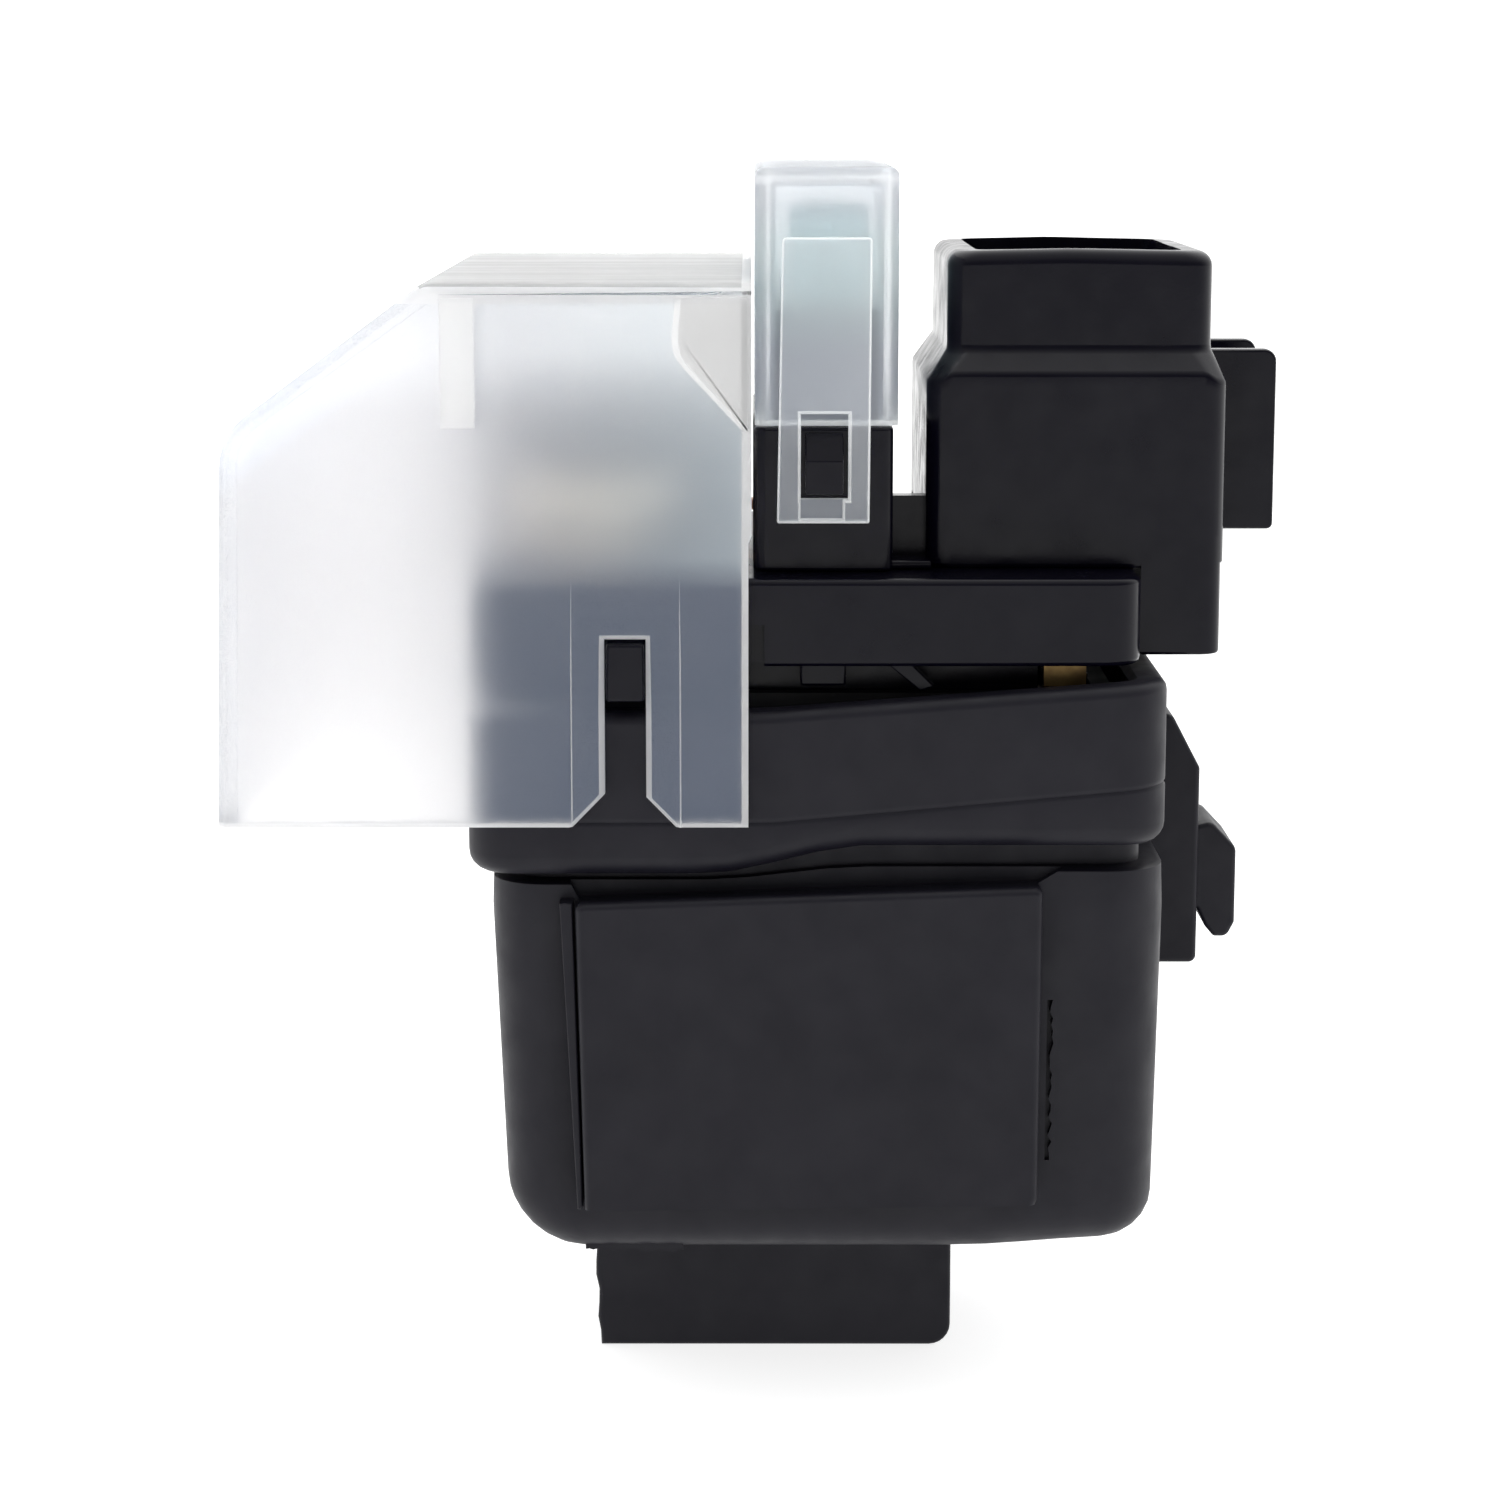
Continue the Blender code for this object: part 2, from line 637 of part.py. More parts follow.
def hood_outline(inset):
    """The hood's side view: flat top, long slope, rounded corner and upright cable side."""
    left = HOOD_LEFT + inset
    top = HOOD_TOP - inset
    slope_top = (-20.5 + 0.35 * inset, top)
    arc_centre = (HOOD_LEFT + 4.3, 61.4)
    arc_radius = 4.3 - inset
    points = [slope_top]
    for degrees in (125, 145, 162, 180):
        angle = math.radians(degrees)
        across, up = arc_radius * math.cos(angle), arc_radius * math.sin(angle)
        points.append((arc_centre[0] + across, arc_centre[1] + up))
    right = HOOD_RIGHT if not inset else HOOD_RIGHT + 5.0
    bottom = HOOD_BOTTOM if not inset else HOOD_BOTTOM - 5.0
    return [(right, top), *points, (left, bottom), (right, bottom)]


def terminal_cover():
    hood = prism("terminal_cover", hood_outline(0.0), -HOOD_HALF_DEPTH, HOOD_HALF_DEPTH, "XZ", FROSTED)
    inner = HOOD_HALF_DEPTH - HOOD_WALL
    room = prism("hood_room", hood_outline(HOOD_WALL), -inner, inner, "XZ")
    slot = prism(
        "hood_slot",
        [
            (SLOT_X - 4.5, 38.0), (SLOT_X - HOOD_SLOT_HALF, 41.4), (SLOT_X - HOOD_SLOT_HALF, HOOD_SLOT_TOP),
            (SLOT_X + HOOD_SLOT_HALF, HOOD_SLOT_TOP), (SLOT_X + HOOD_SLOT_HALF, 41.4), (SLOT_X + 4.5, 38.0),
        ],
        -30.0,
        30.0,
        "XZ",
    )
    cut(hood, room, slot)
    for side in (-1, 1):
        low_y, high_y = sorted((19.6 * side, (inner + 0.5) * side))
        join(hood, box(f"hood_tongue_{side}", (-19.6, low_y, 64.7), (-17.5, high_y, HOOD_TOP - 0.5)))
    return hood


def fuse_cap():
    def soften(bm):
        bevel(bm, end_edges(bm, 2, 1), 0.7, 2)

    cap = box("fuse_cap", CAP_LOW, CAP_HIGH, CLEAR, corner=0.8, steps=2, shape=soften)
    low, high = shrink(CAP_LOW, CAP_HIGH, CAP_WALL)
    cut(cap, box("cap_room", (*low[:2], 60.0), (*high[:2], CAP_HIGH[2] - CAP_WALL)))
    return cap


def cap_latch(side, name):
    """A strap that hangs outside the cap and hooks its window over a lug of the tower."""
    face = (CAP_LOW[1] if side < 0 else CAP_HIGH[1]) + GAP * side
    back = face + 0.35 * side
    front = back + STRAP_THICKNESS * side
    low_y, high_y = sorted((back, front))
    centre = TOWER_X
    strap = box(
        name,
        (centre - STRAP_HALF_WIDTH, low_y, STRAP_Z[0]),
        (centre + STRAP_HALF_WIDTH, high_y, STRAP_Z[1]),
        CLEAR,
    )
    low_y, high_y = sorted((face, back + 0.5 * side))
    root = box(
        name + "_root",
        (centre - STRAP_HALF_WIDTH + 0.2, low_y, STRAP_Z[1] - 2.6),
        (centre + STRAP_HALF_WIDTH - 0.2, high_y, STRAP_Z[1] - 0.1),
    )
    join(strap, root)
    low_y, high_y = sorted((back - 2.0 * side, front + 2.0 * side))
    window = box(
        name + "_window",
        (centre - 0.05 - WINDOW_HALF_WIDTH, low_y, WINDOW_Z[0]),
        (centre - 0.05 + WINDOW_HALF_WIDTH, high_y, WINDOW_Z[1]),
    )
    cut(strap, window)
    return strap


def blade_span(side):
    """The Y range of a fuse blade, front or back."""
    edge = FUSE_Y[0] + 0.45 if side < 0 else FUSE_Y[1] - 0.45 - BLADE_WIDTH
    return edge, edge + BLADE_WIDTH


def fuse_body():
    def rounded_top(bm):
        bevel(bm, end_edges(bm, 2, 1), 1.3, 3)

    low, high = (FUSE_X - FUSE_HALF, FUSE_Y[0], FUSE_Z[0]), (FUSE_X + FUSE_HALF, FUSE_Y[1], FUSE_Z[1])
    body = box("fuse_body", low, high, FUSE_GREEN, corner=0.5, steps=1, shape=rounded_top)
    join(body, box("fuse_shank", (FUSE_X - 1.75, -9.2, 66.8), (FUSE_X + 1.75, 5.2, 72.0)))
    cut(body, box("fuse_slot", (FUSE_X - 0.65, -11.25, 60.0), (FUSE_X + 0.65, 7.25, 75.5)))
    return body


def fuse_blades():
    low_x, high_x = FUSE_X - BLADE_HALF_THICKNESS, FUSE_X + BLADE_HALF_THICKNESS
    front, back = blade_span(-1), blade_span(1)
    metal = box("fuse_blades", (low_x, front[0], 58.6), (high_x, front[1], 74.9), TINNED)
    rear = box("fuse_blade_back", (low_x, back[0], 58.6), (high_x, back[1], 74.9))
    low, high = (low_x + 0.05, front[0] + 2.0, 73.0), (high_x - 0.05, back[1] - 2.0, 74.6)
    element = box("fuse_element", low, high)
    join(metal, rear, element)
    return metal


def fuse_clip(side, name):
    """A spring clip that grips one blade from both sides."""
    low_y, high_y = blade_span(side)
    clip = box(name, (FUSE_X - 1.3, low_y - 0.15, 57.3), (FUSE_X + 1.3, high_y + 0.15, 66.0), BRASS)
    cut(clip, box(name + "_gap", (FUSE_X - 0.65, low_y - 2.0, 57.9), (FUSE_X + 0.65, high_y + 2.0, 70.0)))
    return clip


def fuse_bars():
    """The feed from the battery terminal's pad, and the fused output to the front socket pin."""
    feed = box("fuse_feed_bar", (-4.3, 5.5, 56.3), (17.6, 7.0, 57.0), COPPER)
    join(feed, box("fuse_feed_foot", (-2.8, 5.6, PAD_Z[1] + GAP), (-1.4, 6.9, 56.6)))
    output = box("fuse_output_bar", (3.0, -9.6, 56.3), (17.6, -7.4, 57.0), COPPER)
    return feed, output


# ---------------------------------------------------------------- terminals


def terminal_bar(side, name, pad_right):
    """Pad on the deck, leg down through it, and the contact arm over the bridge."""
    low_y, high_y = sorted((PAD_Y[0] * side, PAD_Y[1] * side))
    leg_low, leg_high = sorted((PAD_Y[0] * side, LEG_OUTER_Y * side))
    bar = box(name, (PAD_LEFT, low_y, PAD_Z[0]), (pad_right, high_y, PAD_Z[1]), COPPER)
    leg = box(name + "_leg", (LEG_X[0], leg_low, ARM_Z[0] + 0.4), (LEG_X[1], leg_high, PAD_Z[1] - 0.5))
    arm_low, arm_high = leg_low + 0.05, leg_high - 0.05
    arm = box(name + "_arm", (LEG_X[0] + 0.05, arm_low, ARM_Z[0]), (ARM_RIGHT, arm_high, ARM_Z[1]))
    join(bar, leg, arm)
    cut(bar, cylinder(name + "_hole", (TERMINAL_X, TERMINAL_Y * side, PAD_Z[1] - 0.5), WASHER_HOLE_R, 4.0))
    return bar


def terminal_screw(side, name):
    x, y = TERMINAL_X, TERMINAL_Y * side
    low, high = SCREW_HEAD_Z
    screw = cylinder(name, (x, y, (low + high) / 2), SCREW_R, high - low, STEEL, steps=6)
    bottom, top = NUT_Z[0] + GAP, low + 0.5
    join(screw, cylinder(name + "_shank", (x, y, (bottom + top) / 2), SHANK_R, top - bottom, steps=16))
    cross = [
        box(name + "_recess_a", (x - 2.6, y - 0.5, high - 1.2), (x + 2.6, y + 0.5, high + 1.6)),
        box(name + "_recess_b", (x - 0.5, y - 2.6, high - 1.2), (x + 0.5, y + 2.6, high + 1.6)),
    ]
    cut(screw, *cross)
    return screw


def ring(name, x, y, inner, outer, low, high, spec, steps=20):
    profile = [(outer, high), (outer, low), (inner, low), (inner, high)]
    return turned(name, x, y, profile, spec, closed=True, steps=steps)


def terminal_washers(side, label):
    x, y = TERMINAL_X, TERMINAL_Y * side
    flat = ring("flat_washer_" + label, x, y, WASHER_HOLE_R, 6.0, *FLAT_WASHER_Z, STEEL)
    spring = ring("spring_washer_" + label, x, y, WASHER_HOLE_R, 5.1, *SPRING_WASHER_Z, STEEL)
    low, high = SPRING_WASHER_Z
    split = box("washer_split_" + label, (x + 2.0, y - 0.35, low - 0.4), (x + 7.0, y + 0.35, high + 0.7))
    cut(spring, split)
    return flat, spring


def terminal_nut(side, name):
    x, y = TERMINAL_X, TERMINAL_Y * side
    nut = box(name, (x - NUT_HALF, y - NUT_HALF, NUT_Z[0]), (x + NUT_HALF, y + NUT_HALF, NUT_Z[1]), STEEL)
    cut(nut, cylinder(name + "_bore", (x, y, NUT_Z[0]), 3.2, 8.0, steps=16))
    return nut


def coil_terminal(side, name):
    """Brass tab below the deck, its link to the socket pin and its solder leg."""
    def span(first, last):
        return sorted((first * side, last * side))

    tab_low, tab_high = span(15.2, 16.0)
    tab = box(name, (18.4, tab_low, 47.4), (21.1, tab_high, 52.0), BRASS)
    link_low, link_high = sorted((15.95 * side, pin_centre_y(side) - 1.35 * side))
    leg_low, leg_high = span(11.5, 15.95)
    join(
        tab,
        box(name + "_link", (18.45, link_low, 51.4), (22.8, link_high, 51.95)),
        box(name + "_leg", (18.45, leg_low, 47.45), (19.9, leg_high, 48.0)),
    )
    return tab


def coil_lead(side, name):
    """Winding wire from the bobbin's flange to the solder leg of its terminal."""
    y = 10.6 * side
    points = [
        (11.5, y, 40.5), (11.5, y, 43.6), (14.5, y * 1.06, 45.2),
        (18.0, y * 1.12, 46.2), (19.1, y * 1.13, 46.6),
    ]
    return wire(name, points, 0.35, COPPER)


# ---------------------------------------------------------------- magnet system


def yoke_frame():
    left, right = COIL_X - YOKE_HALF_SPAN, COIL_X + YOKE_HALF_SPAN
    depth = YOKE_HALF_DEPTH
    low, high = (left, -depth, YOKE_BOTTOM), (right, depth, YOKE_TOP)
    yoke = box("yoke_frame", low, high, STEEL, corner=0.8, axis=1, steps=2)
    room = box(
        "yoke_room",
        (left + YOKE_SHEET, -depth - 2.0, YOKE_BOTTOM + YOKE_SHEET),
        (right - YOKE_SHEET, depth + 2.0, YOKE_TOP + 5.0),
    )
    cut(yoke, room)
    return yoke


def yoke_top_plate():
    half = YOKE_HALF_SPAN - YOKE_SHEET - GAP
    low = (COIL_X - half, -YOKE_HALF_DEPTH, YOKE_TOP - YOKE_SHEET)
    high = (COIL_X + half, YOKE_HALF_DEPTH, YOKE_TOP)
    plate = box("yoke_top_plate", low, high, STEEL)
    cut(plate, cylinder("top_plate_hole", (COIL_X, 0.0, YOKE_TOP), CORE_R + 0.4, 6.0))
    return plate


def bobbin():
    low, high = BOBBIN_Z
    flange, outer, inner = BOBBIN_FLANGE_R, 6.6, 5.6
    profile = [
        (flange, high), (flange, high - 1.2), (outer, high - 1.2), (outer, low + 1.2),
        (flange, low + 1.2), (flange, low), (inner, low), (inner, high),
    ]
    return turned("bobbin", COIL_X, 0.0, profile, BOBBIN_PLASTIC, closed=True)


def coil_winding():
    low, high = BOBBIN_Z
    return ring("coil_winding", COIL_X, 0.0, 6.9, 12.9, low + 1.5, high - 1.5, COPPER, steps=ROUND_STEPS)


def fixed_core():
    profile = [
        (CORE_R, YOKE_TOP), (CORE_R, 28.2), (3.3, 28.2), (3.3, 35.9),
        (1.8, 35.9), (1.8, 36.9), (3.3, 36.9), (3.3, YOKE_TOP),
    ]
    return turned("fixed_core", COIL_X, 0.0, profile, STEEL, closed=True, steps=20)


def plunger():
    low, high = PLUNGER_Z
    profile = [
        (0.0, high), (CORE_R - 0.5, high), (CORE_R, high - 0.5),
        (CORE_R, low + 0.5), (CORE_R - 0.5, low), (0.0, low),
    ]
    return turned("plunger", COIL_X, 0.0, profile, STEEL, closed=False, steps=20)


def plunger_rod():
    profile = [
        (0.0, 48.4), (ROD_R - 0.3, 48.4), (ROD_R, 48.1), (ROD_R, 45.6), (1.0, 45.6), (1.0, 44.6),
        (ROD_R, 44.6), (ROD_R, 38.1), (2.8, 38.1), (2.8, 37.3), (ROD_R, 37.3), (ROD_R, 25.5), (0.0, 25.5),
    ]
    return turned("plunger_rod", COIL_X, 0.0, profile, STEEL, closed=False, steps=12)


def contact_bridge():
    low, high = (COIL_X - 3.0, -9.5, BRIDGE_Z[0]), (COIL_X + 3.0, 9.5, BRIDGE_Z[1])
    bridge = box("contact_bridge", low, high, COPPER, corner=0.8, steps=1)
    cut(bridge, cylinder("bridge_hole", (COIL_X, 0.0, BRIDGE_Z[0]), 1.8, 5.0, steps=16))
    return bridge


def retaining_clip():
    clip = ring("retaining_clip", COIL_X, 0.0, 1.35, 3.0, 44.8, 45.4, STEEL, steps=16)
    cut(clip, box("clip_mouth", (COIL_X + 0.2, -0.8, 44.0), (COIL_X + 5.0, 0.8, 46.0)))
    return clip


# ---------------------------------------------------------------- assembly


def shade(pieces):
    for piece in pieces:
        if piece.type == "MESH":
            piece.data.shade_smooth()
            piece.data.set_sharp_from_angle(angle=math.radians(35))


def build():
    boot = rubber_boot()
    relay = [coil_case(), case_seal(), contact_base(), connector_fuse_block(), *socket_pins(), *fuse_bars()]
    relay += [yoke_frame(), yoke_top_plate(), bobbin(), coil_winding(), fixed_core()]
    relay += [terminal_bar(1, "terminal_bar_battery", BATTERY_PAD_RIGHT)]
    relay += [terminal_bar(-1, "terminal_bar_motor", MOTOR_PAD_RIGHT)]
    relay += [fuse_clip(-1, "fuse_clip_front"), fuse_clip(1, "fuse_clip_rear")]
    screws = []
    for side, label in ((1, "battery"), (-1, "motor")):
        relay += [terminal_nut(side, "terminal_nut_" + label), *terminal_washers(side, label)]
        screws.append(terminal_screw(side, "terminal_screw_" + label))
    for side, label in ((-1, "front"), (1, "rear")):
        relay += [coil_terminal(side, "coil_terminal_" + label), coil_lead(side, "coil_lead_" + label)]
    hood = terminal_cover()
    cap = [fuse_cap(), cap_latch(-1, "fuse_cap_latch_front"), cap_latch(1, "fuse_cap_latch_rear")]
    fuse = [fuse_body(), fuse_blades()]
    armature = [plunger(), plunger_rod(), retaining_clip()]
    armature += [coil("return_spring", COIL_X, 0.0, 25.6, 35.5, 2.5, 0.3, 4, STEEL)]
    bridge = [contact_bridge(), coil("contact_spring", COIL_X, 0.0, 38.45, 42.95, 2.3, 0.28, 3, STEEL)]
    shade([boot, *relay, *screws, hood, *cap, *fuse, *armature, *bridge])
    carrier("relay_slide_axis", (COIL_X, 0.0, FLOOR_TOP), relay)
    carrier("cover_slide_axis", (HOOD_RIGHT, 0.0, HOOD_TOP), [hood])
    carrier("fuse_slide_axis", (FUSE_X, SOCKET_Y, FUSE_Z[0]), fuse)
    carrier("cap_slide_axis", (TOWER_X, SOCKET_Y, CAP_LOW[2]), cap)
    carrier("plunger_slide_axis", (COIL_X, 0.0, PLUNGER_Z[0]), armature)
    carrier("bridge_slide_axis", (COIL_X, 0.0, BRIDGE_Z[0]), bridge)


clear_scene()
PARTS = collection("starter_relay")
CUTTERS = collection("cutters")
build()
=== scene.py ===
import math
import random

import bmesh
import bpy
from mathutils import Matrix, Vector


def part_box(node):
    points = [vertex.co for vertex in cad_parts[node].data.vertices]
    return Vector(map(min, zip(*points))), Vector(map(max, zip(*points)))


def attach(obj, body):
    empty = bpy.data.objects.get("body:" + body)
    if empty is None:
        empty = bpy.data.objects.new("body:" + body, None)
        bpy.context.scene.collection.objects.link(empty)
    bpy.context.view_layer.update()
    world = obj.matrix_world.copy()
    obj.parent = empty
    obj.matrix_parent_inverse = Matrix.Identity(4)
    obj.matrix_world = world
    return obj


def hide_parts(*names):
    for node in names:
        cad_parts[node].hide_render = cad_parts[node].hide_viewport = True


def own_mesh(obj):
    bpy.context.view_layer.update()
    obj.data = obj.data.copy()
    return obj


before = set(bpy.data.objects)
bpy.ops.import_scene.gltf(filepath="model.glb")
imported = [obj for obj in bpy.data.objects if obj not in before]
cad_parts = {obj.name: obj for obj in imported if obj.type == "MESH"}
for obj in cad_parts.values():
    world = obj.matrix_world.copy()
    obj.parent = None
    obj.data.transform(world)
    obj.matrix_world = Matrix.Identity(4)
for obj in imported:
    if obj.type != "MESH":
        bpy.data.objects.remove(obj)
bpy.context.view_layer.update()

# Sizes below are in millimetres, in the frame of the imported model: +X to the plug socket, -Y to the
# viewer, +Z up. Places come from the CAD nodes' boxes.
MM = 0.001


def span(node):
    """A CAD node's lowest and highest corner, in millimetres."""
    low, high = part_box(node)
    return Vector(low) / MM, Vector(high) / MM


# ---------------------------------------------------------------- mesh helpers


def mesh_object(name, bm, materials=()):
    bmesh.ops.recalc_face_normals(bm, faces=bm.faces)
    mesh = bpy.data.meshes.new(name)
    bm.to_mesh(mesh)
    bm.free()
    for item in materials:
        mesh.materials.append(item)
    made = bpy.data.objects.new(name, mesh)
    bpy.context.scene.collection.objects.link(made)
    return made


def bevel(bm, edges, radius, steps):
    bmesh.ops.bevel(bm, geom=list(edges), offset=radius * MM, segments=steps, profile=0.5, affect="EDGES")
    bm.normal_update()


def runs_along(edge, axis):
    along = edge.verts[1].co - edge.verts[0].co
    return abs(along[axis]) > 0.8 * along.length


def block(name, low, high, corner=0.0, edge=0.25, axis=2, steps=(6, 3), shape=None, ends=(-1, 1)):
    """A box with its edges along one axis rounded by corner and the loops of its ends by edge."""
    size = [(b - a) * MM for a, b in zip(low, high)]
    centre = [(a + b) / 2 * MM for a, b in zip(low, high)]
    bm = bmesh.new()
    place = Matrix.Translation(centre) @ Matrix.Diagonal((*size, 1.0))
    bmesh.ops.create_cube(bm, size=1.0, matrix=place)
    if shape:
        shape(bm)
    bm.normal_update()
    if corner:
        bevel(bm, [item for item in bm.edges if runs_along(item, axis)], corner, steps[0])
        caps = [face for face in bm.faces if any(face.normal[axis] * side > 0.7 for side in ends)]
        if edge:
            bevel(bm, {item for face in caps for item in face.edges}, edge, steps[1])
    elif edge:
        bevel(bm, bm.edges, edge, steps[1])
    return mesh_object(name, bm)


def rounded(outline, steps=6):
    """An outline's points; a third number at a corner is the radius that rounds it."""
    points = []
    count = len(outline)
    for index, (across, up, *radius) in enumerate(outline):
        here = Vector((across, up))
        if not radius:
            points.append(here)
            continue
        before = (Vector(outline[index - 1][:2]) - here).normalized()
        after = (Vector(outline[(index + 1) % count][:2]) - here).normalized()
        half = before.angle(after) / 2
        reach = radius[0] / math.tan(half)
        centre = here + (before + after).normalized() * radius[0] / math.sin(half)
        start = here + before * reach - centre
        end = here + after * reach - centre
        turn = start.angle_signed(end)
        for step in range(steps + 1):
            angle = -turn * step / steps
            points.append(centre + Matrix.Rotation(angle, 2) @ start)
    return points


def slab(name, outline, low, high, plane, edge=0.2, steps=2):
    """A flat outline in the XZ, YZ or XY plane made solid between two places on the third axis."""
    order = {"XZ": (0, 2, 1), "YZ": (1, 2, 0), "XY": (0, 1, 2)}[plane]
    points = rounded(outline)
    bm = bmesh.new()
    rings = []
    for depth in (low, high):
        ring = []
        for point in points:
            place = Vector((0.0, 0.0, 0.0))
            place[order[0]] = point.x * MM
            place[order[1]] = point.y * MM
            place[order[2]] = depth * MM
            ring.append(bm.verts.new(place))
        rings.append(ring)
    caps = [bm.faces.new(ring) for ring in rings]
    for index in range(len(points)):
        following = (index + 1) % len(points)
        bm.faces.new((rings[0][index], rings[0][following], rings[1][following], rings[1][index]))
    bmesh.ops.recalc_face_normals(bm, faces=bm.faces)
    if edge:
        bevel(bm, {item for face in caps for item in face.edges}, edge, steps)
    return mesh_object(name, bm)


def lathe(name, x, y, profile, steps=48, closed=False):
    """A turned piece about a vertical axis from (radius, height) points."""
    bm = bmesh.new()
    rings = []
    for radius, height in profile:
        if radius == 0.0:
            rings.append([bm.verts.new((x * MM, y * MM, height * MM))])
            continue
        ring = []
        for step in range(steps):
            angle = 2 * math.pi * step / steps
            place = (x + radius * math.cos(angle), y + radius * math.sin(angle), height)
            ring.append(bm.verts.new(Vector(place) * MM))
        rings.append(ring)
    pairs = list(zip(rings, rings[1:]))
    if closed:
        pairs.append((rings[-1], rings[0]))
    for upper, lower in pairs:
        for step in range(steps):
            following = (step + 1) % steps
            loop = [upper[step % len(upper)], upper[following % len(upper)]]
            loop += [lower[following % len(lower)], lower[step % len(lower)]]
            unique = list(dict.fromkeys(loop))
            if len(unique) > 2:
                bm.faces.new(unique)
    return mesh_object(name, bm)


def loft(name, rings):
    """A closed skin through rings of the same number of points, with both ends capped."""
    bm = bmesh.new()
    made = [[bm.verts.new(Vector(point) * MM) for point in ring] for ring in rings]
    for lower, upper in zip(made, made[1:]):
        for index in range(len(lower)):
            following = (index + 1) % len(lower)
            bm.faces.new((lower[index], lower[following], upper[following], upper[index]))
    bm.faces.new(made[0])
    bm.faces.new(made[-1])
    return mesh_object(name, bm)


def carve(target, join=(), cut=()):
    """Unite and cut with exact booleans, applied at once; the tools are removed."""
    for operation, tools in (("UNION", join), ("DIFFERENCE", cut)):
        for tool in tools:
            step = target.modifiers.new(tool.name, "BOOLEAN")
            step.operation = operation
            step.solver = "EXACT"
            step.object = tool
            step.material_mode = "TRANSFER"
    apply_modifiers(target)
    for tool in (*join, *cut):
        mesh = tool.data
        bpy.data.objects.remove(tool, do_unlink=True)
        bpy.data.meshes.remove(mesh)
    return target


def apply_modifiers(target):
    bpy.context.view_layer.update()
    shown = target.evaluated_get(bpy.context.evaluated_depsgraph_get())
    mesh = bpy.data.meshes.new_from_object(shown)
    old = target.data
    target.modifiers.clear()
    target.data = mesh
    bpy.data.meshes.remove(old)


def shade(target, sharp_angle=40):
    target.data.shade_smooth()
    target.data.set_sharp_from_angle(angle=math.radians(sharp_angle))
    weighted = target.modifiers.new("weighted normals", "WEIGHTED_NORMAL")
    weighted.keep_sharp = True
    weighted.weight = 60


def settle(piece, material, body, *nodes, slot=None):
    """Finish a piece: its material, its body, the CAD nodes it stands for and its finish."""
    if material:
        piece.data.materials.clear()
        piece.data.materials.append(material)
    shade(piece)
    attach(piece, body)
    if nodes:
        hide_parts(*nodes)
    return piece


# ---------------------------------------------------------------- materials


class Look:
    """A Principled material with object-space noise for colour, roughness and relief."""

    def __init__(self, name, colour, roughness, metallic=0.0, **settings):
        self.material = bpy.data.materials.new(name)
        self.material.use_nodes = True
        self.tree = self.material.node_tree
        self.shader = self.tree.nodes["Principled BSDF"]
        self.shader.inputs["Base Color"].default_value = (*colour, 1.0)
        self.shader.inputs["Roughness"].default_value = roughness
        self.shader.inputs["Metallic"].default_value = metallic
        for key, value in settings.items():
            self.shader.inputs[key.replace("_", " ")].default_value = value
        self.place = self.tree.nodes.new("ShaderNodeTexCoord").outputs["Object"]
        self.normal = None

    def noise(self, size_mm, detail=3.0, stretch=(1.0, 1.0, 1.0), roughness=0.5):
        """Noise whose features are about size_mm across."""
        mapping = self.tree.nodes.new("ShaderNodeMapping")
        mapping.inputs["Scale"].default_value = stretch
        self.tree.links.new(self.place, mapping.inputs["Vector"])
        node = self.tree.nodes.new("ShaderNodeTexNoise")
        node.inputs["Scale"].default_value = 1.0 / (size_mm * MM)
        node.inputs["Detail"].default_value = detail
        node.inputs["Roughness"].default_value = roughness
        self.tree.links.new(mapping.outputs["Vector"], node.inputs["Vector"])
        return node.outputs["Fac"]

    def ramp(self, source, low, high, first, last):
        """Map a value between low and high onto first to last."""
        node = self.tree.nodes.new("ShaderNodeMapRange")
        node.inputs["From Min"].default_value = low
        node.inputs["From Max"].default_value = high
        node.inputs["To Min"].default_value = first
        node.inputs["To Max"].default_value = last
        self.tree.links.new(source, node.inputs["Value"])
        return node.outputs["Result"]

    def tint(self, source, first, last):
        """Base colour that varies between two colours with a value from 0 to 1."""
        node = self.tree.nodes.new("ShaderNodeMix")
        node.data_type = "RGBA"
        node.inputs["A"].default_value = (*first, 1.0)
        node.inputs["B"].default_value = (*last, 1.0)
        self.tree.links.new(source, node.inputs["Factor"])
        self.tree.links.new(node.outputs["Result"], self.shader.inputs["Base Color"])

    def along(self, direction, start, full):
        """A value that goes from 0 to 1 between two places along a direction, in millimetres."""
        dot = self.tree.nodes.new("ShaderNodeVectorMath")
        dot.operation = "DOT_PRODUCT"
        dot.inputs[1].default_value = direction
        self.tree.links.new(self.place, dot.inputs[0])
        return self.ramp(dot.outputs["Value"], start * MM, full * MM, 0.0, 1.0)

    def whiten(self, direction, start, full, white=(0.985, 0.985, 0.985)):
        """Fade the base colour to white along a direction, as painted light."""
        share = self.along(direction, start, full)
        socket = self.shader.inputs["Base Color"]
        node = self.tree.nodes.new("ShaderNodeMix")
        node.data_type = "RGBA"
        node.inputs["B"].default_value = (*white, 1.0)
        self.tree.links.new(socket.links[0].from_socket, node.inputs["A"])
        self.tree.links.new(share, node.inputs["Factor"])
        self.tree.links.new(node.outputs["Result"], socket)

    def vary_roughness(self, source):
        self.tree.links.new(source, self.shader.inputs["Roughness"])

    def relief(self, source, height_mm):
        """Add bumps of about height_mm, on top of any earlier ones."""
        node = self.tree.nodes.new("ShaderNodeBump")
        node.inputs["Strength"].default_value = 1.0
        node.inputs["Distance"].default_value = height_mm * MM
        self.tree.links.new(source, node.inputs["Height"])
        if self.normal:
            self.tree.links.new(self.normal, node.inputs["Normal"])
        self.normal = node.outputs["Normal"]
        self.tree.links.new(self.normal, self.shader.inputs["Normal"])


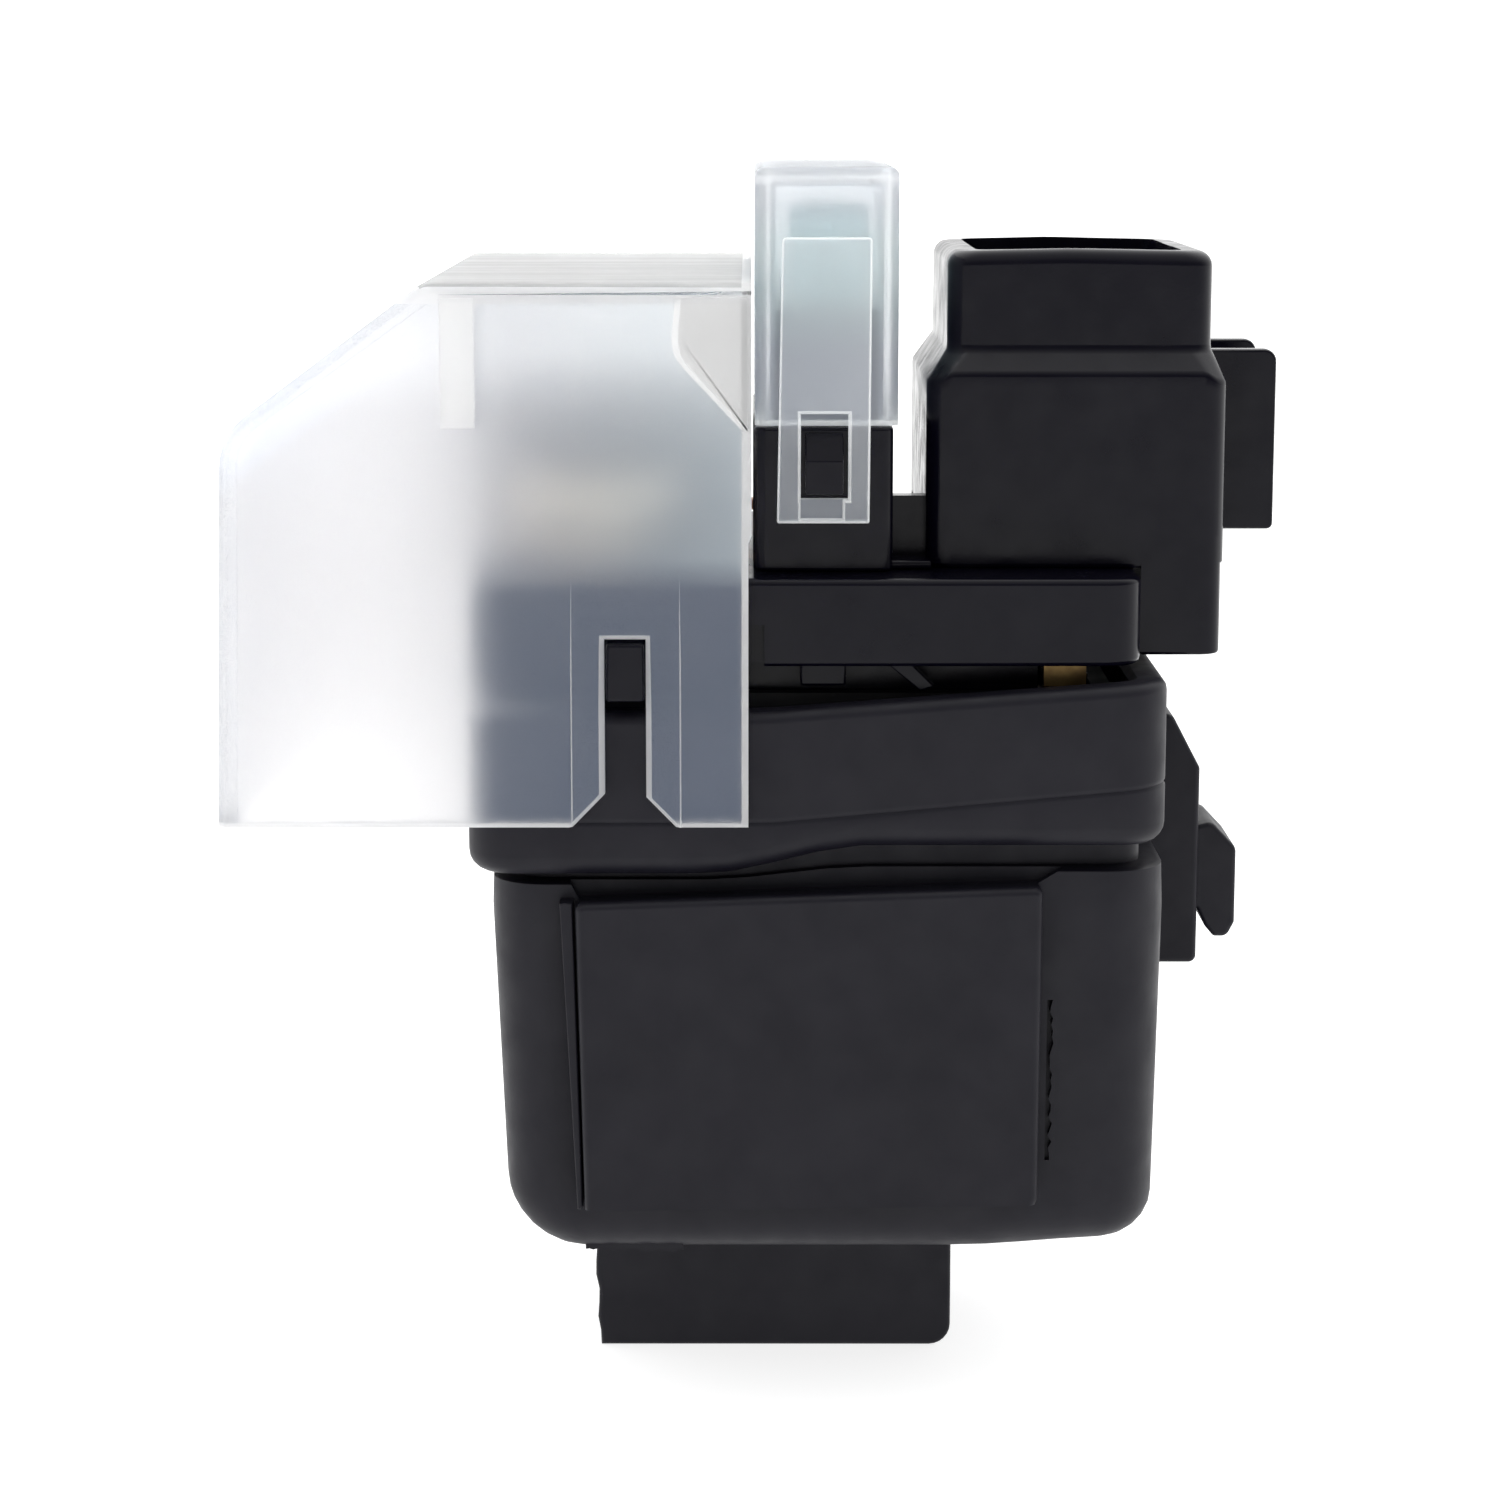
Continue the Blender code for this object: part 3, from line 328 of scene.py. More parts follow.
def moulded_black(name, dark, light, roughness, gloss, grain_mm, relief_mm):
    """Black moulded rubber or plastic: cloudy tone, fine grain and slow unevenness."""
    look = Look(name, dark, roughness)
    look.shader.inputs["Specular IOR Level"].default_value = gloss
    clouds = look.noise(6.0, detail=4.0)
    look.tint(look.ramp(clouds, 0.35, 0.7, 0.0, 1.0), dark, light)
    look.vary_roughness(look.ramp(look.noise(2.2, detail=5.0), 0.3, 0.7, roughness - 0.06, roughness + 0.08))
    look.relief(look.noise(grain_mm, detail=2.0), relief_mm)
    look.relief(look.noise(9.0, detail=1.0), 0.03)
    return look.material


def frosted_plastic(name, colour, roughness, transmission, ior, specks=None, painted_light_fades=()):
    """Milky translucent plastic.

    specks adds the roughness of strongly scattering specks; each of the fades is painted light that whitens
    it along a direction, between the places, in millimetres, where the white starts and is full.
    """
    look = Look(name, colour, roughness)
    sockets = look.shader.inputs
    sockets["IOR"].default_value = ior
    sockets["Transmission Weight"].default_value = transmission
    sockets["Subsurface Weight"].default_value = 1.0
    sockets["Subsurface Radius"].default_value = (1.0, 1.0, 1.0)
    sockets["Subsurface Scale"].default_value = 0.004
    pale = tuple(value * 0.99 for value in colour)
    look.tint(look.ramp(look.noise(7.0, detail=4.0), 0.35, 0.65, 0.0, 1.0), colour, pale)
    for fade in painted_light_fades:
        look.whiten(*fade)
    if specks:
        look.vary_roughness(look.ramp(look.noise(0.02, detail=0.0), 0.35, 0.46, roughness, specks))
    else:
        uneven = look.noise(1.6, detail=3.0)
        look.vary_roughness(look.ramp(uneven, 0.3, 0.7, roughness - 0.03, roughness + 0.03))
    look.relief(look.noise(11.0, detail=0.0, stretch=(1.0, 1.0, 0.45)), 0.03)
    return look


def metal(name, colour, stain, roughness, grain_mm=0.6, stretch=(1.0, 1.0, 1.0)):
    look = Look(name, colour, roughness, metallic=1.0)
    look.tint(look.ramp(look.noise(2.4, detail=5.0), 0.4, 0.75, 0.0, 1.0), colour, stain)
    grain = look.noise(grain_mm, detail=3.0, stretch=stretch)
    look.vary_roughness(look.ramp(grain, 0.3, 0.7, roughness - 0.08, roughness + 0.1))
    look.relief(grain, 0.006)
    return look.material


RUBBER = moulded_black(
    "boot_rubber", (0.0056, 0.0052, 0.0098), (0.0088, 0.0083, 0.0136),
    roughness=0.47, gloss=0.24, grain_mm=0.28, relief_mm=0.005,
)
SEAL = moulded_black(
    "seal_rubber", (0.008, 0.008, 0.009), (0.012, 0.012, 0.013),
    roughness=0.6, gloss=0.25, grain_mm=0.2, relief_mm=0.005,
)
PLASTIC = moulded_black(
    "base_plastic", (0.0016, 0.0013, 0.005), (0.0028, 0.0025, 0.0064),
    roughness=0.2, gloss=0.17, grain_mm=0.22, relief_mm=0.002,
)


def painted_scatter_glow(look, strength, colour=(0.15, 0.42, 1.0)):
    """A faint painted glow: the plastic emits it though it is no lamp, in place of the scattered light that
    milky plastic shows in front of something dark.
    """
    look.shader.inputs["Emission Color"].default_value = (*colour, 1.0)
    look.shader.inputs["Emission Strength"].default_value = strength
    return look.material


def painted_glow_zone(look, strength, colour, *ramps):
    """More painted glow, of another colour, where the ramps along directions are all full: emitted light in
    place of more scatter there.
    """
    nodes, links = look.tree.nodes, look.tree.links
    share = look.along(*ramps[0])
    for ramp in ramps[1:]:
        product = nodes.new("ShaderNodeMath")
        product.operation = "MULTIPLY"
        links.new(share, product.inputs[0])
        links.new(look.along(*ramp), product.inputs[1])
        share = product.outputs["Value"]
    socket = look.shader.inputs["Emission Color"]
    everywhere = look.shader.inputs["Emission Strength"].default_value
    weak = tuple(value * everywhere for value in socket.default_value[:3])
    node = nodes.new("ShaderNodeMix")
    node.data_type = "RGBA"
    node.inputs["A"].default_value = (*weak, 1.0)
    node.inputs["B"].default_value = (*(value * strength for value in colour), 1.0)
    links.new(share, node.inputs["Factor"])
    links.new(node.outputs["Result"], socket)
    look.shader.inputs["Emission Strength"].default_value = 1.0


def shaded_streaked_top():
    """The hood's top: a darker copy of the hood's plastic, painted shade on the top face, with flow streaks
    along it.
    """
    look = frosted_plastic("frosted_plastic_top", (0.6, 0.6, 0.6), 0.5, 0.4, 1.3)
    streaks = look.noise(2.6, detail=4.0, stretch=(0.08, 1.0, 1.0))
    look.tint(look.ramp(streaks, 0.35, 0.65, 0.0, 1.0), (0.42, 0.42, 0.415), (0.54, 0.54, 0.535))
    return look.material


RIGHTWARDS = (1.0, 0.0, 0.0)
UPWARDS, DOWNWARDS = (0.0, 0.0, 1.0), (0.0, 0.0, -1.0)
# The hood's long slope faces this way; its plane lies SLOPE_PLACE along the direction.
SLOPE_NORMAL = Vector((-9.4, 0.0, 12.7)).normalized()
SLOPE_PLACE = SLOPE_NORMAL.dot(Vector((-20.5, 0.0, span("terminal_cover")[1].z)))
# Painted light on the hood: the plastic is painted whiter near the long slope and paler towards the top. Each
# fade has its direction, the places along it where it starts and is full, and sometimes its white.
HOOD_PAINTED_LIGHT_FADES = (
    (SLOPE_NORMAL, SLOPE_PLACE - 3.2, SLOPE_PLACE - 1.4),
    (UPWARDS, 65.4, 69.0, (0.98, 0.968, 0.945)),
)
HOOD_PLASTIC = frosted_plastic(
    "frosted_plastic", (0.88, 0.862, 0.838), roughness=0.2, transmission=0.93, ior=1.3, specks=1.0,
    painted_light_fades=HOOD_PAINTED_LIGHT_FADES,
)
# Painted light: the hood's plastic glows faintly blue everywhere, and more towards its right above about 56
# mm, in place of scattered light.
FROSTED = painted_scatter_glow(HOOD_PLASTIC, 0.04)
painted_glow_zone(
    HOOD_PLASTIC, 0.15, (0.7, 0.86, 1.0),
    (RIGHTWARDS, -15.0, -1.0), (UPWARDS, 54.3, 56.3),
)
# A whiter copy of the hood's plastic, for painted highlights along its edges, slot, pad outlines and tongues.
HOOD_EDGE_HIGHLIGHT = frosted_plastic("frosted_plastic_edge", (0.985, 0.985, 0.99), 0.55, 0.45, 1.3).material
# The gusset's field: a whiter copy of the hood's plastic with a faint painted glow.
HOOD_GUSSET_GLOW = painted_scatter_glow(
    frosted_plastic("frosted_plastic_gusset", (0.98, 0.98, 0.98), 0.55, 0.45, 1.3),
    0.022, (1.0, 1.0, 0.99),
)
# The gusset's border: a whiter copy with a stronger painted glow, a painted highlight line.
HOOD_HIGHLIGHT_LINE = painted_scatter_glow(
    frosted_plastic("frosted_plastic_line", (0.99, 0.99, 0.99), 0.55, 0.3, 1.3),
    0.09, (1.0, 1.0, 1.0),
)
HOOD_TOP_SHADED = shaded_streaked_top()
# Painted light: the cap's plastic glows faintly everywhere, and more, in a bluish band, between about 72 and
# 75.5 mm high, fading out by 68.5 and 77.5 mm.
CAP_PLASTIC = frosted_plastic("clear_plastic", (0.952, 0.962, 0.965), 0.38, 0.76, 1.2)
CLEAR = painted_scatter_glow(CAP_PLASTIC, 0.018)
painted_glow_zone(CAP_PLASTIC, 0.03, (0.35, 0.85, 1.0), (UPWARDS, 68.5, 72.0), (DOWNWARDS, -77.5, -75.5))
# A whiter copy of the clear plastic with a strong painted glow: painted highlights on the cap's foot and on
# the straps' edges, recesses and windows.
CLEAR_EDGE_HIGHLIGHT = painted_scatter_glow(
    frosted_plastic("clear_plastic_edge", (0.97, 0.98, 0.985), 0.4, 0.35, 1.3),
    0.16, (0.95, 1.0, 1.0),
)


def fuse_plastic():
    look = Look("fuse_plastic", (0.78, 0.96, 0.98), 0.12)
    sockets = look.shader.inputs
    sockets["IOR"].default_value = 1.5
    sockets["Transmission Weight"].default_value = 0.55
    look.vary_roughness(look.ramp(look.noise(1.2), 0.3, 0.7, 0.08, 0.2))
    look.relief(look.noise(4.0, detail=1.0), 0.03)
    return look.material


FUSE_PLASTIC = fuse_plastic()
BRASS = metal("brass", (0.3, 0.2, 0.08), (0.14, 0.09, 0.04), 0.4)
COPPER = metal("copper", (0.8, 0.45, 0.3), (0.45, 0.22, 0.14), 0.36)
ZINC = metal("zinc_steel", (0.72, 0.66, 0.54), (0.5, 0.46, 0.37), 0.36)
IRON = metal("soft_iron", (0.5, 0.49, 0.47), (0.33, 0.31, 0.29), 0.42, stretch=(1.0, 1.0, 6.0))
TINNED = metal("tinned_metal", (0.78, 0.78, 0.77), (0.6, 0.6, 0.58), 0.28)
SPRING = metal("spring_steel", (0.66, 0.65, 0.63), (0.42, 0.41, 0.4), 0.3)


def bobbin_plastic():
    cream, shade_of_cream = (0.7, 0.67, 0.58), (0.6, 0.56, 0.47)
    look = Look("bobbin_plastic", cream, 0.5)
    look.tint(look.ramp(look.noise(3.0, detail=4.0), 0.3, 0.7, 0.0, 1.0), cream, shade_of_cream)
    look.relief(look.noise(0.3), 0.008)
    return look.material


BOBBIN_PLASTIC = bobbin_plastic()


def winding_wire():
    """Enamelled wire: one ridge for each turn, from a wave along the height; the same wave paints the grooves
    between turns darker, as painted shade.
    """
    look = Look("winding_wire", (0.55, 0.2, 0.07), 0.3, metallic=1.0)
    wave = look.tree.nodes.new("ShaderNodeTexWave")
    wave.bands_direction = "Z"
    wire = 0.45
    wave.inputs["Scale"].default_value = 1.0 / (20 * wire * MM) * math.pi
    wave.inputs["Distortion"].default_value = 0.6
    look.tree.links.new(look.place, wave.inputs["Vector"])
    look.tint(wave.outputs["Fac"], (0.3, 0.09, 0.03), (0.62, 0.24, 0.08))
    look.relief(wave.outputs["Fac"], 0.12)
    return look.material


WINDING = winding_wire()

# ---------------------------------------------------------------- rubber mount

BOOT_LOW, BOOT_HIGH = span("rubber_boot")
BODY_LEFT, BODY_RIGHT = BOOT_LOW.x + 1.3, BOOT_HIGH.x - 6.4
BODY_HALF = BOOT_HIGH.y - 1.2
BODY_BOTTOM, BODY_TOP = 10.0, 34.9
LEFT_RADIUS = 5.0
COLLAR_LEFT, COLLAR_RIGHT = BOOT_LOW.x, BOOT_HIGH.x - 6.6
COLLAR_HALF = BOOT_HIGH.y
CASE_LOW, CASE_HIGH = span("coil_case")
CAVITY_CLEARANCE = 0.3
ARC_STEPS = 8
SIDE_STEPS = 14


def smooth_step(value):
    value = min(max(value, 0.0), 1.0)
    return value * value * (3.0 - 2.0 * value)


def bottom_height(x):
    return BODY_BOTTOM + 0.6 * smooth_step((x - 13.0) / 11.0)


def collar_edge_height(x):
    return 35.85 + 1.85 * smooth_step((x + 3.5) / 10.7)


def body_top_height(x):
    return 35.25 + 0.85 * smooth_step((x + 3.5) / 10.7)


def seam_height(x):
    return 39.4 + 0.0905 * max(0.0, x - 0.9)


def rim_height(x):
    return 46.4 + 0.0747 * max(0.0, x)


def level(low, high, corner, height):
    """One level of a skin: a rounded rectangle whose height follows a function of X and Y."""
    corners = (
        (high[0] - corner, low[1] + corner, -90),
        (high[0] - corner, high[1] - corner, 0),
        (low[0] + corner, high[1] - corner, 90),
        (low[0] + corner, low[1] + corner, 180),
    )
    arcs = []
    for centre_x, centre_y, start in corners:
        arc = []
        for step in range(ARC_STEPS + 1):
            angle = math.radians(start + 90 * step / ARC_STEPS)
            arc.append(Vector((centre_x + corner * math.cos(angle), centre_y + corner * math.sin(angle))))
        arcs.append(arc)
    flat = []
    for index, arc in enumerate(arcs):
        flat += arc
        following = arcs[(index + 1) % 4][0]
        for step in range(1, SIDE_STEPS):
            flat.append(arc[-1].lerp(following, step / SIDE_STEPS))
    return [(point.x, point.y, height(point.x, point.y)) for point in flat]


def body_level(inset, rise, height=None):
    """A level of the drafted lower body; rise is above its bottom."""
    share = rise / (BODY_TOP - BODY_BOTTOM)
    left_inset = LEFT_RADIUS - math.sqrt(max(0.0, LEFT_RADIUS**2 - max(0.0, LEFT_RADIUS - rise) ** 2))
    left = BODY_LEFT + 0.95 * (1.0 - share) + max(inset, left_inset)
    right = BODY_RIGHT - 0.35 * (1.0 - share) - inset
    half = BODY_HALF - 1.0 * (1.0 - share) - inset

    def drafted(x, y):
        return bottom_height(x) * (1.0 - share) + BODY_TOP * share

    return level((left, -half), (right, half), max(3.7 - inset, 0.3), height or drafted)


def collar_level(inset, height):
    half = COLLAR_HALF - inset
    return level((COLLAR_LEFT + inset, -half), (COLLAR_RIGHT - inset, half), max(3.0 - inset, 0.6), height)


def cavity_level(inset, height):
    grow = CAVITY_CLEARANCE - inset
    low = (CASE_LOW.x - grow, CASE_LOW.y - grow)
    high = (CASE_HIGH.x + grow, CASE_HIGH.y + grow)
    return level(low, high, max(2.4 - inset, 0.3), height)


def boot_shell():
    rings = []
    bottom_radius = 3.3
    for step in range(7):
        angle = math.radians(15 * step)
        rings.append(body_level(bottom_radius * (1 - math.sin(angle)), bottom_radius * (1 - math.cos(angle))))
    for rise in (4.1, 5.0, 8.0, 13.0, 18.0, 23.2):
        rings.append(body_level(0.0, rise))
    rings.append(body_level(0.12, 24.6, lambda x, y: body_top_height(x) - 0.15))
    rings.append(body_level(0.45, 24.9, lambda x, y: body_top_height(x)))
    rings.append(body_level(1.6, 24.9, lambda x, y: body_top_height(x) + 0.05))
    rings.append(body_level(1.6, 24.9, lambda x, y: collar_edge_height(x) - 0.02))
    fillet = 1.35
    for step in range(6):
        angle = math.radians(18 * step)
        inset = fillet * (1 - math.sin(angle))
        lift = fillet * (1 - math.cos(angle))
        rings.append(collar_level(inset, lambda x, y, lift=lift: collar_edge_height(x) + lift))
    for inset, lift in ((0.0, -0.28), (0.13, -0.06), (0.03, 0.1), (0.0, 0.3)):
        rings.append(collar_level(inset, lambda x, y, lift=lift: seam_height(x) + lift))
    rim_radius = 0.8
    for step in range(5):
        angle = math.radians(22.5 * step)
        inset = rim_radius * (1 - math.cos(angle))
        drop = rim_radius * (1 - math.sin(angle))
        rings.append(collar_level(inset, lambda x, y, drop=drop: rim_height(x) - drop))
    rings.append(collar_level(1.9, lambda x, y: rim_height(x)))
    rings.append(collar_level(2.3, lambda x, y: rim_height(x) - 0.4))
    mouth = CASE_HIGH.z - 0.6
    rings.append(collar_level(2.35, lambda x, y: mouth))
    rings.append(cavity_level(0.0, lambda x, y: mouth - 0.3))
    floor = CASE_LOW.z - CAVITY_CLEARANCE
    rings.append(cavity_level(0.0, lambda x, y: floor + 0.8))
    rings.append(cavity_level(0.25, lambda x, y: floor + 0.2))
    rings.append(cavity_level(0.8, lambda x, y: floor))
    return loft("rubber_boot_skin", rings)


def boot_panel():
    """The front pad over the side pocket, and the thin lip along its left side."""
    front = BOOT_LOW.y
    outline = [(-11.5, 34.3, 0.55), (-11.0, 13.5, 0.55), (18.05, 13.9, 1.1), (18.15, 35.35, 0.55)]
    pad = slab("boot_panel", outline, front, -15.0, "XZ", edge=0.5, steps=4)
    under = [(-14.0, 10.0), (20.0, 10.0), (20.0, 14.5), (-14.0, 14.07)]
    below = slab("boot_panel_underside", under, -30.0, -10.0, "XZ", edge=0.0)
    carve(pad, cut=(below,))
    beside = [(-12.5, 34.2), (-11.5, 14.0), (-11.15, 14.0), (-11.66, 34.2)]
    lip = slab("boot_panel_lip", beside, front + 0.7, -15.0, "XZ", edge=0.12)
    return pad, lip


def boot_foot():
    """The foot below the body, with the uneven moulding line down its left edge."""
    left = []
    for step in range(15):
        up = 14.0 * (1 - step / 14)
        wave = 0.07 * math.sin(up * 2.1) + 0.04 * math.sin(up * 4.7 + 1.0)
        left.append((BOOT_LOW.x + 7.75 - 0.045 * up + wave, up))
    outline = [*left, (13.35, 0.0, 1.45), (13.35, 14.0)]
    return slab("boot_foot", outline, -7.0, 7.0, "XZ", edge=0.3, steps=3)


def ragged_strip(name, low_x, high_x, low_z, high_z, front, back, along, seed, rag):
    """A thin strip with one torn edge: moulding flash, or the mouth of a slit."""
    rng = random.Random(seed)
    count = 26
    torn = []
    for step in range(count + 1):
        share = step / count
        jag = rag * (rng.random() - 0.35)
        if along == "X":
            torn.append((low_x + (high_x - low_x) * share, low_z - jag))
        else:
            torn.append((high_x + jag, low_z + (high_z - low_z) * share))
    if along == "X":
        outline = [*torn, (high_x, high_z), (low_x, high_z)]
    else:
        outline = [*torn, (low_x, high_z), (low_x, low_z)]
    return slab(name, outline, front, back, "XZ", edge=0.0)


def boot_hook():
    """The T-shaped hook beside the mount: a standing plate and the head in front of it."""
    standing = [(24.0, 26.4), (30.0, 26.4, 0.5), (30.0, 39.9, 0.5), (28.05, 43.6, 0.6), (24.0, 43.6)]
    plate = slab("boot_plate", standing, -4.5, 4.5, "XZ", edge=0.35, steps=3)
    hooked = [
        (29.4, 30.2), (30.1, 30.0, 0.3), (30.7, 28.7, 0.2), (31.3, 28.0, 0.3), (32.2, 28.0, 0.6),
        (32.7, 29.0, 0.5), (32.7, 34.2, 0.8), (31.0, 36.0, 0.6), (29.4, 35.6),
    ]
    head = slab("boot_hook_head", hooked, -3.5, 3.5, "XZ", edge=0.3, steps=3)
    return plate, head


def rubber_boot():
    boot = boot_shell()
    flash = ragged_strip("boot_flash", -11.2, -4.8, 9.95, 11.6, -16.4, -16.0, "X", 4, 0.28)
    foot_sleeve = block("foot_sleeve", (-8.2, -4.6, -1.0), (10.7, 4.6, 9.5), corner=0.8, edge=0.3)
    pocket = block("pocket", (-9.0, -20.2, 17.0), (17.6, -18.5, 27.5), edge=0.2)
    mouth = block("pocket_mouth", (17.2, -18.55, 17.2), (18.9, -18.2, 27.2), edge=0.0)
    slit = ragged_strip("pocket_slit", 18.68, 18.95, 16.7, 27.5, -21.0, -18.1, "Z", 9, 0.3)
    above_panel = [
        (-11.3, 34.15), (17.95, 35.2), (19.6, 36.2), (19.0, 36.7), (7.2, 36.7), (-3.5, 35.5), (-12.0, 35.5),
    ]
    groove = slab("panel_groove", above_panel, BOOT_LOW.y + 0.55, -18.4, "XZ", edge=0.0)
    line_outline = [(-11.3, 14.2), (-11.16, 14.2), (-10.98, 9.0), (-11.14, 9.0)]
    line = slab("mould_line", line_outline, -21.0, -18.9, "XZ", edge=0.0)
    cuts = (foot_sleeve, pocket, mouth, slit, groove, line)
    carve(boot, join=(*boot_panel(), boot_foot(), *boot_hook(), flash), cut=cuts)
    return settle(boot, RUBBER, "mount", "rubber_boot", slot="boot_rubber")


# ---------------------------------------------------------------- deck

DECK_LOW, DECK_HIGH = span("contact_base")
DECK_BOTTOM, DECK_TOP = 49.1, 54.7
SLOT_X = -8.2
LUG_HALF = 1.2
APRON_BOTTOM = 47.2
ROOM = 0.3


def hollow(name, low, high):
    """A sharp-edged box that is cut out of a piece."""
    return block(name, low, high, edge=0.0)


def coil_slots(side):
    """Room in the deck for a coil terminal; side is -1 at the front and 1 at the back."""
    name = "coil_terminal_front" if side < 0 else "coil_terminal_rear"
    low, high = span(name)
    outer = 16.3 * side
    inner = (-2.0 + 7.35 * side) - 1.65 * side
    low_y, high_y = sorted((outer, inner))
    leg_low, leg_high = sorted((outer, 11.2 * side))
    pin_low, pin_high = sorted((inner, inner + 3.3 * side))
    left, right = low.x - ROOM, high.x + ROOM
    return (
        hollow(f"link_slot_{side}", (left, low_y, low.z + 0.5), (right, high_y, high.z + ROOM)),
        hollow(f"leg_slot_{side}", (left, leg_low, low.z - ROOM), (low.x + 2.1, leg_high, 49.4)),
        hollow(f"pin_slot_{side}", (21.7, pin_low, 52.0), (23.1, pin_high, 56.0)),
    )


def contact_base():
    left, right = DECK_LOW.x + 0.2, 24.4
    half = 19.0
    corner = 2.2
    base = block("contact_base_body", (left, -half, DECK_BOTTOM), (right, half, DECK_TOP), corner, edge=0.45)
    apron_top = DECK_BOTTOM + 0.9
    apron = block("deck_apron", (left, -half, APRON_BOTTOM), (-1.2, half, apron_top), corner, edge=0.3)
    inset = 1.7
    skirt_low = (CASE_LOW.x + inset, CASE_LOW.y + inset, DECK_LOW.z)
    skirt_high = (CASE_HIGH.x - inset, CASE_HIGH.y - inset, DECK_BOTTOM + 0.5)
    skirt = block("deck_skirt", skirt_low, skirt_high, corner=0.8, edge=0.2)
    partition = block("deck_partition", (DECK_LOW.x, -1.1, 52.0), (-0.9, 1.1, DECK_HIGH.z), edge=0.25)
    rib = block("deck_rib", (2.8, -17.2, 47.6), (5.7, -14.2, 50.0), edge=0.2)
    brace_outline = [(8.0, 49.4), (9.6, 49.4), (11.3, 47.7), (10.4, 47.4)]
    brace = slab("deck_brace", brace_outline, -17.9, -16.6, "XZ", edge=0.1)
    lugs = []
    for side in (-1, 1):
        low_y, high_y = sorted((18.5 * side, 21.7 * side))
        lug_low, lug_high = (SLOT_X - LUG_HALF, low_y, 47.3), (SLOT_X + LUG_HALF, high_y, 51.0)
        lugs.append(block(f"deck_lug_{side}", lug_low, lug_high, edge=0.25))
    wall = 1.2
    chamber = block(
        "deck_chamber",
        (skirt_low[0] + wall, skirt_low[1] + wall, 40.0),
        (skirt_high[0] - wall, skirt_high[1] - wall, DECK_BOTTOM),
        edge=0.0,
    )
    cuts = [chamber, hollow("deck_notch", (-0.9, -19.6, 48.0), (0.5, -17.0, 51.8))]
    for side, node in ((1, "terminal_bar_battery"), (-1, "terminal_bar_motor")):
        pad_left = span(node)[0].x
        nut_low, nut_high = span("terminal_nut_battery" if side > 0 else "terminal_nut_motor")
        nut_room_low = [value - ROOM for value in nut_low]
        cuts.append(hollow(f"nut_room_{side}", nut_room_low, (nut_high.x + ROOM, nut_high.y + ROOM, 60.0)))
        pad_right = -1.2 if side > 0 else -3.6
        low_y, high_y = sorted((5.1 * side, 15.7 * side))
        pad_room = (pad_left - ROOM, low_y, 52.9), (pad_right + ROOM, high_y, 60.0)
        cuts.append(hollow(f"pad_room_{side}", *pad_room))
        low_y, high_y = sorted((5.1 * side, 11.7 * side))
        cuts.append(hollow(f"bar_slot_{side}", (-4.9, low_y, 48.0), (-3.3, high_y, 56.0)))
        cuts += coil_slots(side)
    cuts.append(lathe("rod_guide", 4.5, 0.0, [(0.0, 52.0), (1.9, 52.0), (1.9, 47.0), (0.0, 47.0)]))
    carve(base, join=(apron, skirt, partition, rib, brace, *lugs), cut=cuts)
    return settle(base, PLASTIC, "relay", "contact_base", slot="base_plastic")


# ---------------------------------------------------------------- fuse tower and plug socket

BLOCK_LOW, BLOCK_HIGH = span("connector_fuse_block")
SOCKET_Y = -2.0
FUSE_X = 4.6
CAP_WALL = 0.95
SOCKET_LEFT, SOCKET_RIGHT = 10.9, 30.1
SOCKET_FRONT, SOCKET_BACK = -14.0, 10.0
SOCKET_STEP = (1.35, 1.4, 0.9)


def socket_level(step, inset, corner, height):
    """A level of the socket; step goes from 0 on the lower part to 1 on the narrower upper part."""
    left, depth, right = (value * step + inset for value in SOCKET_STEP)
    low = (SOCKET_LEFT + left, SOCKET_FRONT + depth)
    high = (SOCKET_RIGHT - right, SOCKET_BACK - depth)
    return level(low, high, corner, height)


def socket_skin():
    """The plug socket's outside: lower part, soft shoulder, upper part and rounded lip."""

    def shoulder_foot(x, y):
        front = smooth_step((SOCKET_FRONT + 1.0 - y) / 1.0) + smooth_step((y - SOCKET_BACK + 1.0) / 1.0)
        inside = smooth_step((x - SOCKET_LEFT - 0.3) / 1.4) * smooth_step((SOCKET_RIGHT - 0.3 - x) / 1.4)
        return 66.75 + 0.55 * front * inside

    def lip_height(x, y):
        return BLOCK_HIGH.z - 0.02 * abs(x - 20.0)

    rings = [
        socket_level(0.0, 0.25, 1.4, lambda x, y: DECK_TOP + 0.05),
        socket_level(0.0, 0.0, 1.6, lambda x, y: DECK_TOP + 0.35),
    ]
    for drop, step in ((1.0, 0.0), (0.35, 0.0), (0.1, 0.02), (-0.12, 0.12)):
        rings.append(socket_level(step, 0.0, 1.6, lambda x, y, drop=drop: shoulder_foot(x, y) - drop))
    rings.append(socket_level(0.85, 0.0, 1.6, lambda x, y: 68.35))
    rings.append(socket_level(0.97, 0.0, 1.6, lambda x, y: 68.6))
    rings.append(socket_level(1.0, 0.0, 1.6, lambda x, y: 68.95))
    lip = 0.95
    for turn in range(6):
        angle = math.radians(18 * turn)
        inset = lip * (1 - math.cos(angle))
        drop = lip * (1 - math.sin(angle))
        rings.append(socket_level(1.0, inset * 0.9, 1.6, lambda x, y, drop=drop: lip_height(x, y) - drop))
    return loft("socket_skin", rings)


def socket_pieces():
    right = SOCKET_RIGHT - 0.15
    left = 24.7
    corner = 1.3
    outline = [
        (left, SOCKET_FRONT),
        (right, SOCKET_FRONT, corner),
        (right, SOCKET_BACK, corner),
        (left, SOCKET_BACK),
    ]
    return socket_skin(), slab("socket_overhang", outline, DECK_BOTTOM, 57.0, "XY", edge=0.22)


